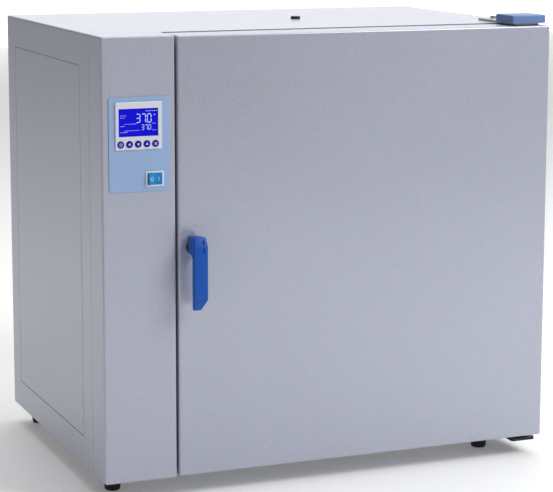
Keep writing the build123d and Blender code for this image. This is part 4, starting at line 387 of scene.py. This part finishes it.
# %% Mouldings, prints and soft parts
# painted shade: the near-black blue of the brackets stands in for the shade that falls under the
# hinge cap
finish("dark_bracket_paint", "grain", (22, 22, 44), dust=0.1)
wool = [("Smooth", 0.8), ("Grain Scale", 160.0)]
finish("mineral_wool", "grain", (190, 178, 128), wool, bump=0.6)
finish("black_rubber", "grain", (26, 26, 28), [("Smooth", 0.62)], bump=0.2, dust=0.15)
finish("grey_silicone", "grain", (150, 151, 154), [("Smooth", 0.45)])
finish("silicone_tube", "grain", (214, 214, 210), [("Smooth", 0.4)])
finish("white_moulding", "grain", (232, 232, 234), [("Smooth", 0.3)])
finish("pale_blue_moulding", "grain", (150, 177, 216), [("Smooth", 0.38)], bump=0.15)
finish("cover_moulding", "grain", (98, 126, 178), [("Smooth", 0.34)], bump=0.12)
finish(
    "blue_moulding", "grain", (14, 82, 176), [("Smooth", 0.36)],
    bump=0.12, specular_ior_level=0.25,
)
finish("black_plastic", "grain", (22, 22, 25), [("Smooth", 0.36)], bump=0.15)
finish("circuit_board", "grain", (20, 92, 52), [("Smooth", 0.3)])
finish("display_blue", "grain", (8, 8, 222), [("Smooth", 0.3)], specular_ior_level=0.12)
finish("navy_caps", "grain", (12, 12, 150), [("Smooth", 0.26)], specular_ior_level=0.25)
finish("cyan_rocker", "grain", (20, 132, 194), [("Smooth", 0.24)], specular_ior_level=0.25)
finish("segments", "grain", (196, 206, 250), [("Smooth", 0.4)])
finish("sign_print", "grain", (206, 212, 236), [("Smooth", 0.4)])
finish(
    "clear_glass", "grain", (236, 243, 242), [("Smooth", 0.0)],
    bump=0.0, transmission_weight=1.0,
)

for entry in record["subparts"]:
    node = frame["nodes"][entry["node"]]
    for place in node.material_slots:
        place.material = FINISHES[entry["material_slot"]]
print("finishes", len(FINISHES))

# %% [markdown]
# ## Modelling helpers
# Each new piece starts as a primitive at its place and is then shaped in edit mode. The
# helpers pick faces or edges by their place, run one operator on them, and apply the
# modifiers that finish the piece.


# %% Modelling helpers
def deselect():
    """Nothing selected and no piece in edit mode."""
    if bpy.context.object and bpy.context.object.mode == "EDIT":
        bpy.ops.object.mode_set(mode="OBJECT")
    bpy.ops.object.select_all(action="DESELECT")


def activate(piece):
    """One piece selected and active."""
    deselect()
    bpy.context.view_layer.objects.active = piece
    piece.select_set(True)


def settle(piece, name):
    """Names a new piece and puts its place into its mesh."""
    piece.name = name
    piece.data.name = name
    bpy.ops.object.transform_apply(location=True, rotation=True, scale=True)
    return piece


def new_block(name, low, high):
    """A block between two corners."""
    deselect()
    middle = (Vector(low) + Vector(high)) / 2
    size = Vector(high) - Vector(low)
    bpy.ops.mesh.primitive_cube_add(size=1.0, location=middle, scale=size)
    return settle(bpy.context.object, name)


def new_rod(name, radius, start, end, sides=40):
    """A round rod between two points."""
    deselect()
    start, end = Vector(start), Vector(end)
    turn = (end - start).to_track_quat("Z", "Y").to_euler()
    bpy.ops.mesh.primitive_cylinder_add(
        radius=radius, depth=(end - start).length, vertices=sides,
        location=(start + end) / 2, rotation=turn,
    )
    return settle(bpy.context.object, name)


def pick(piece, kind, wanted):
    """Enters edit mode with only the faces or edges selected that a test accepts."""
    activate(piece)
    bpy.ops.object.mode_set(mode="EDIT")
    bpy.ops.mesh.select_mode(type={"faces": "FACE", "edges": "EDGE"}[kind])
    bpy.ops.mesh.select_all(action="DESELECT")
    shape = bmesh.from_edit_mesh(piece.data)
    for part in getattr(shape, kind):
        if wanted(part):
            part.select_set(True)
    shape.select_flush_mode()
    bmesh.update_edit_mesh(piece.data)


def leave():
    """Back to object mode."""
    bpy.ops.object.mode_set(mode="OBJECT")


def facing(direction, limit=0.9):
    """A test for faces that look along a direction."""
    direction = Vector(direction)
    return lambda face: face.normal.dot(direction) > limit


def middle_of(edge):
    """The middle of an edge."""
    return (edge.verts[0].co + edge.verts[1].co) / 2


def along(edge, axis, limit=0.99):
    """Whether an edge runs along an axis, 0 to 2."""
    run = edge.verts[1].co - edge.verts[0].co
    return abs(run[axis]) > limit * run.length


def modify(piece, kind, **settings):
    """Adds a modifier and applies it."""
    activate(piece)
    modifier = piece.modifiers.new(kind.lower(), kind)
    for key, value in settings.items():
        setattr(modifier, key, value)
    bpy.ops.object.modifier_apply(modifier=modifier.name)


def cut(piece, *tools):
    """Cuts tools out of a piece and removes them."""
    for tool in tools:
        modify(piece, "BOOLEAN", object=tool, operation="DIFFERENCE", solver="EXACT")
        bpy.data.objects.remove(tool)


def slice_off(piece, point, normal):
    """Cuts a piece by a plane and closes it, dropping what lies on the normal's side."""
    pick(piece, "faces", lambda face: True)
    bpy.ops.mesh.bisect(plane_co=point, plane_no=normal, use_fill=True, clear_outer=True)
    leave()


def join(name, pieces):
    """Joins pieces into one mesh."""
    deselect()
    for piece in pieces:
        piece.select_set(True)
    bpy.context.view_layer.objects.active = pieces[0]
    bpy.ops.object.join()
    pieces[0].name = name
    pieces[0].data.name = name
    return pieces[0]


def shade(piece, angle=35.0):
    """Smooth shading up to an angle."""
    activate(piece)
    bpy.ops.object.shade_smooth_by_angle(angle=math.radians(angle))


def dress(piece, body, slot_name, *nodes, look=None):
    """Finishes a piece, lets it ride on a body and stand for CAD nodes."""
    piece.data.materials.clear()
    piece.data.materials.append(FINISHES[look or slot_name])
    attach(piece, body)
    if nodes:
        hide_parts(*nodes)
    print(piece.name, "triangles about", 2 * len(piece.data.polygons))


# %% [markdown]
# ## Door
# The skin is a tray folded from one sheet. A block gets rounded folds, loses its back
# and gains the sheet's thickness inwards, which gives the soft bright lines along the
# folds that the flat front needs. Two bores let the hinge bushes and the spindle through.

# %% Door skin
FOLD_R = 3.5 * MM
SHEET = 1.2 * MM
BUSH_R = 8.2 * MM
SLEEVE_R = 7.2 * MM

pin_low, pin_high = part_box("hinge_bushes")
sleeve_low, sleeve_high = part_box("spindle_sleeve")
door_low, door_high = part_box("door_skin")
pivot_x, pivot_y = (pin_low.x + pin_high.x) / 2, (pin_low.y + pin_high.y) / 2
spindle_x, spindle_z = (sleeve_low.x + sleeve_high.x) / 2, (sleeve_low.z + sleeve_high.z) / 2

door_skin = new_block("door_front", door_low, door_high)
pick(door_skin, "edges", lambda edge: middle_of(edge).y < door_high.y - SHEET)
bpy.ops.mesh.bevel(offset=FOLD_R, segments=6, affect="EDGES")
leave()
pick(door_skin, "faces", facing((0, 1, 0)))
bpy.ops.mesh.delete(type="FACE")
leave()
modify(door_skin, "SOLIDIFY", thickness=SHEET, offset=-1.0)

bush_bore = new_rod(
    "bush_bore", BUSH_R,
    (pivot_x, pivot_y, door_low.z - FOLD_R), (pivot_x, pivot_y, door_high.z + FOLD_R),
)
sleeve_bore = new_rod(
    "sleeve_bore", SLEEVE_R,
    (spindle_x, door_low.y - FOLD_R, spindle_z), (spindle_x, door_low.y + FOLD_R, spindle_z),
)
cut(door_skin, bush_bore, sleeve_bore)
shade(door_skin)
dress(door_skin, "door", "silver_paint", "door_skin")

# %% [markdown]
# ## Turn handle
# One blue moulding: a flat grip, cut off at a slant below, with a neck that runs back to
# the spindle. A block is cut by planes, its back is narrowed, and the neck is extruded
# from the upper part of the back. Two small slots are let into the front.

# %% Turn handle
GRIP_D = 20 * MM
GRIP_BACK_SHARE = 0.66
NECK_DROP = 9 * MM
CREST_DROP = 14 * MM
CREST_NORMAL = (0, -0.9, 0.42)
TOP_DROP = 3 * MM
TOP_NORMAL = (0, 0.1, 1)
TOE_NORMAL = (0, -1, -1)
THROAT_R = 9 * MM
FLANK_R = 3.5 * MM
FLANK_OUT = 8 * MM
FLANK_FRONT = 5 * MM
SOFT_R = 1.2 * MM
SLOT_LEFT = 4 * MM
SLOT_RIGHT = 6 * MM
SLOT_START = 5 * MM
SLOTS = ((10.0 * MM, 17.5 * MM, 6.5 * MM), (-3.0 * MM, 5.0 * MM, 2.6 * MM))

handle_low, handle_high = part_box("handle")
grip_back_y = handle_low.y + GRIP_D
neck_low_z = spindle_z - NECK_DROP


def in_throat(edge):
    """The inner corner where the neck's underside meets the grip."""
    middle = middle_of(edge)
    near = abs(middle.y - grip_back_y) < MM and abs(middle.z - neck_low_z) < MM
    return along(edge, 0) and near


def on_flank(edge):
    """The upright front edges of the grip."""
    middle = middle_of(edge)
    outside = abs(middle.x - spindle_x) > FLANK_OUT
    return outside and middle.y < grip_back_y - FLANK_FRONT


handle = new_block("handle_moulding", handle_low, (handle_high.x, grip_back_y, handle_high.z))
pick(handle, "faces", facing((0, 1, 0)))
grip_middle = (spindle_x, grip_back_y, spindle_z)
bpy.ops.transform.resize(value=(GRIP_BACK_SHARE, 1, 1), center_override=grip_middle)
leave()
pick(handle, "faces", lambda face: True)
bpy.ops.mesh.bisect(plane_co=(0, 0, neck_low_z), plane_no=(0, 0, 1))
leave()
pick(
    handle, "faces",
    lambda face: face.normal.y > 0.9 and face.calc_center_median().z > neck_low_z,
)
neck_run = {"value": (0, handle_high.y - grip_back_y, 0)}
bpy.ops.mesh.extrude_region_move(TRANSFORM_OT_translate=neck_run)
leave()
slice_off(handle, (spindle_x, grip_back_y, handle_low.z), TOE_NORMAL)
slice_off(handle, (spindle_x, handle_low.y, handle_high.z - CREST_DROP), CREST_NORMAL)
slice_off(handle, (spindle_x, handle_high.y, handle_high.z - TOP_DROP), TOP_NORMAL)
pick(handle, "edges", in_throat)
bpy.ops.mesh.bevel(offset=THROAT_R, segments=6, affect="EDGES")
leave()
pick(handle, "edges", on_flank)
bpy.ops.mesh.bevel(offset=FLANK_R, segments=5, affect="EDGES")
leave()
modify(
    handle, "BEVEL", width=SOFT_R, segments=3, limit_method="ANGLE",
    angle_limit=math.radians(25), harden_normals=False,
)
shade(handle)
for slot_low, slot_high, reach in SLOTS:
    near = (spindle_x + SLOT_LEFT, handle_low.y - SLOT_START, spindle_z + slot_low)
    far = (spindle_x + SLOT_RIGHT, handle_low.y + reach, spindle_z + slot_high)
    cut(handle, new_block("slot", near, far))
shade(handle)
dress(handle, "latch", "blue_moulding", "handle")

# %% [markdown]
# ## Hinge cap
# A blue cap hides the upper hinge. It is a thin box, open below, with soft edges and a
# notch at the rear where the bracket passes.

# %% Hinge cap
CAP_WALL = 2 * MM
CAP_EDGE_R = 2.2 * MM
NOTCH_PLAY = 0.3 * MM

cap_low, cap_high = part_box("hinge_cover")
bracket_low, bracket_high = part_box("upper_hinge_bracket")
cap = new_block("hinge_cap", cap_low, cap_high)
pick(cap, "edges", lambda edge: middle_of(edge).z > cap_low.z + CAP_WALL)
bpy.ops.mesh.bevel(offset=CAP_EDGE_R, segments=5, affect="EDGES")
leave()
pick(cap, "faces", facing((0, 0, -1)))
bpy.ops.mesh.delete(type="FACE")
leave()
modify(cap, "SOLIDIFY", thickness=CAP_WALL, offset=-1.0)
notch = new_block(
    "notch",
    (bracket_low.x - NOTCH_PLAY, cap_high.y - 3 * CAP_WALL, bracket_low.z),
    (bracket_high.x + NOTCH_PLAY, cap_high.y + CAP_WALL, bracket_high.z + NOTCH_PLAY),
)
cut(cap, notch)
shade(cap)
dress(cap, "cabinet", "cover_moulding", "hinge_cover")

# %% [markdown]
# ## Display figures
# A segment display lights bars of one shape, so one function models a bar. A table of
# the lit bars spells each figure. The figures are plain numbers, with dashes where such
# a display has its small marks.

# %% Display figures
LIT = {"0": "abcdef", "3": "abcdg", "7": "abc"}
# each bar's place across and up its figure, and whether it stands
BARS = {
    "a": (0.5, 1.0, False), "g": (0.5, 0.5, False), "d": (0.5, 0.0, False),
    "f": (0.0, 0.75, True), "b": (1.0, 0.75, True),
    "e": (0.0, 0.25, True), "c": (1.0, 0.25, True),
}
# left, down, length, width, how many and their step; lengths in millimetres
MARKS = (
    (47.4, 23.0, 1.6, 1.6, 1, 0.0),
    (50.4, 35.0, 1.0, 1.0, 1, 0.0),
    (60.6, 11.0, 2.4, 2.2, 1, 0.0),
    (3.6, 11.4, 1.8, 1.0, 4, 2.6),
    (3.6, 15.0, 1.8, 1.0, 3, 2.6),
    (3.6, 28.6, 1.8, 1.0, 3, 2.6),
    (3.6, 38.4, 1.8, 1.0, 5, 2.6),
    (46.5, 4.6, 2.4, 1.2, 6, 3.4),
    (10.0, 25.2, 21.0, 0.5, 1, 0.0),
    (57.0, 25.2, 7.5, 0.5, 1, 0.0),
    (10.0, 36.0, 26.0, 0.5, 1, 0.0),
    (57.0, 36.0, 7.5, 0.5, 1, 0.0),
)
SEGMENT_T = 0.3 * MM
BAR_POINT = 0.42
BAR_SHORTER = 0.6
FRAME_SIDE = 0.2 * MM
FRAME_TOP = 1.0 * MM

window_low, window_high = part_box("display_window")
window_left = window_low.x + FRAME_SIDE
window_top = window_high.z - FRAME_TOP


def lit_bar(centre_x, centre_z, length, width, upright_bar=False):
    """One lit bar on the window, with pointed ends."""
    half = (width / 2, length / 2) if upright_bar else (length / 2, width / 2)
    low = (centre_x - half[0], window_low.y - SEGMENT_T, centre_z - half[1])
    high = (centre_x + half[0], window_low.y + SEGMENT_T, centre_z + half[1])
    bar = new_block("bar", low, high)
    pick(bar, "edges", lambda edge: along(edge, 1))
    bpy.ops.mesh.bevel(offset=width * BAR_POINT, segments=1, affect="EDGES")
    leave()
    return bar


def figures(text, left, down, wide, tall, pitch, stroke):
    """A row of figures; all sizes are in millimetres, from the window's corner."""
    bars = []
    base = window_top - (down + tall) * MM
    for n, figure in enumerate(text):
        start = window_left + (left + n * pitch) * MM
        for letter in LIT[figure]:
            across, up, stands = BARS[letter]
            length = (tall / 2 if stands else wide) * MM - stroke * MM * BAR_SHORTER
            place = (start + across * wide * MM, base + up * tall * MM)
            bars.append(lit_bar(*place, length, stroke * MM, stands))
    return bars


def dash(left, down, length, width):
    """A plain dash on the display, in millimetres from the window's corner."""
    place = (window_left + (left + length / 2) * MM, window_top - down * MM)
    return lit_bar(*place, length * MM, width * MM)


lit = figures("370", left=30.5, down=9.5, wide=6.4, tall=13.6, pitch=9.4, stroke=1.7)
lit += figures("370", left=39.5, down=27.0, wide=3.8, tall=8.0, pitch=5.9, stroke=1.1)
for left, down, length, width, count, step in MARKS:
    lit += [dash(left + n * step, down, length, width) for n in range(count)]
segments = join("display_segments", lit)
dress(segments, "cabinet", "white_moulding", look="segments")

# %% [markdown]
# ## Signs on keys and switch
# A sign is a thin raised print. Each stands on the face behind it, found by a ray from
# the front, so that it follows the slope of the rocker and moves with its key.

# %% Signs
SIGN_T = 0.25 * MM
RAY_START = 50 * MM
KEY_RING_R = 2.6 * MM
KEY_RING_BORE = 1.7 * MM
KEY_RING_SIDES = 24
ARROW_R = 2.7 * MM
ARROW_SIDES = 3
ARROW_TURNS = {2: 90, 3: 180, 4: 0}
LINE_SIZE = (4.4 * MM, 0.8 * MM)
LINE_PITCH = 1.6 * MM
OFF_RING_R = 3.2 * MM
OFF_RING_BORE = 2.4 * MM
OFF_RING_SIDES = 32
ON_BAR_SIZE = (0.9 * MM, 6.4 * MM)


def stand_on(node_name, x, z):
    """The point and normal where a line from the front meets a node."""
    start = Vector((x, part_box(node_name)[0].y - RAY_START, z))
    hit, point, normal, _ = frame["nodes"][node_name].ray_cast(start, Vector((0, 1, 0)))
    if not hit:
        raise SystemExit(f"nothing of {node_name} at {x}, {z}")
    return point, normal


def flat_sign(name, node_name, x, z, sides, radius, turn=0.0, hole=0.0):
    """A flat figure with a number of sides that stands on a node's face."""
    point, normal = stand_on(node_name, x, z)
    deselect()
    bpy.ops.mesh.primitive_cylinder_add(
        radius=radius, depth=SIGN_T, vertices=sides, location=point,
    )
    sign = bpy.context.object
    lean = normal.to_track_quat("Z", "Y").to_matrix()
    sign.rotation_euler = (lean @ Matrix.Rotation(turn, 3, "Z")).to_euler()
    settle(sign, name)
    if hole:
        pick(sign, "faces", lambda face: abs(face.normal.dot(normal)) > 0.9)
        bpy.ops.mesh.inset(thickness=radius - hole)
        bpy.ops.mesh.delete(type="FACE")
        bpy.ops.mesh.select_all(action="DESELECT")
        leave()
        pick(sign, "edges", lambda edge: edge.is_boundary)
        bpy.ops.mesh.bridge_edge_loops()
        leave()
    return sign


def sign_box(name, node_name, x, z, wide, tall):
    """A flat bar sign on a node's face."""
    point, normal = stand_on(node_name, x, z)
    half = (wide / 2, tall / 2, SIGN_T / 2)
    bar = new_block(name, [-v for v in half], half)
    lean = normal.to_track_quat("Z", "Y").to_matrix().to_4x4()
    bar.matrix_world = Matrix.Translation(point) @ lean
    return settle(bar, name)


for n in range(1, 6):
    low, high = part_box(f"key_{n}")
    x, z = (low.x + high.x) / 2, (low.z + high.z) / 2
    name = f"key_sign_{n}"
    if n == 1:
        sign = flat_sign(name, "key_1", x, z, KEY_RING_SIDES, KEY_RING_R, hole=KEY_RING_BORE)
    elif n == 5:
        rows = [z + step * LINE_PITCH for step in (-1, 0, 1)]
        sign = join(name, [sign_box(name, "key_5", x, row, *LINE_SIZE) for row in rows])
    else:
        turn = math.radians(ARROW_TURNS[n])
        sign = flat_sign(name, f"key_{n}", x, z, ARROW_SIDES, ARROW_R, turn=turn)
    dress(sign, f"button_{n}", "white_moulding", look="sign_print")

rocker_low, rocker_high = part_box("rocker")
rocker_z = (rocker_low.z + rocker_high.z) / 2
quarter = (rocker_high.x - rocker_low.x) / 4
off_x, on_x = rocker_low.x + quarter, rocker_high.x - quarter
ring = flat_sign(
    "rocker_ring", "rocker", off_x, rocker_z,
    OFF_RING_SIDES, OFF_RING_R, hole=OFF_RING_BORE,
)
dress(ring, "power_rocker", "white_moulding", look="sign_print")
bar = sign_box("rocker_bar", "rocker", on_x, rocker_z, *ON_BAR_SIZE)
dress(bar, "power_rocker", "white_moulding", look="sign_print")

# %% [markdown]
# ## Floor and backdrop
# A white floor that glows a little, as a lit table does, so that the case casts only a
# faint shadow. A lit backdrop to the right whitens what the camera sees behind the case.

# %% Floor and backdrop
FLOOR_SIZE = 40.0
FLOOR_GLOW = 0.12
BACKDROP_SIZE = 12.0
BACKDROP_PLACE = (5.5, 9.0, 4.0)
BACKDROP_GLOW = 0.85
PAPER_WHITE = (0.95, 0.95, 0.95, 1.0)
PAPER_ROUGHNESS = 0.8


def glowing_white(name, glow):
    """A dull white that gives off some light."""
    material = bpy.data.materials.new(name)
    material.use_nodes = True
    surface = material.node_tree.nodes["Principled BSDF"]
    surface.inputs["Base Color"].default_value = PAPER_WHITE
    surface.inputs["Roughness"].default_value = PAPER_ROUGHNESS
    surface.inputs["Emission Color"].default_value = WHITE
    surface.inputs["Emission Strength"].default_value = glow
    return material


def stage_plane(name, size, place, rotation, material):
    """A plane of the set."""
    deselect()
    bpy.ops.mesh.primitive_plane_add(size=size, location=place, rotation=rotation)
    plane = bpy.context.object
    plane.name = name
    plane.data.materials.append(material)
    return plane


white_floor = glowing_white("white_floor", FLOOR_GLOW)
floor = stage_plane("floor", FLOOR_SIZE, (0, 0, 0), (0, 0, 0), white_floor)
white_backdrop = glowing_white("backdrop_glow", BACKDROP_GLOW)
upright = (math.pi / 2, 0, 0)
backdrop = stage_plane("backdrop", BACKDROP_SIZE, BACKDROP_PLACE, upright, white_backdrop)
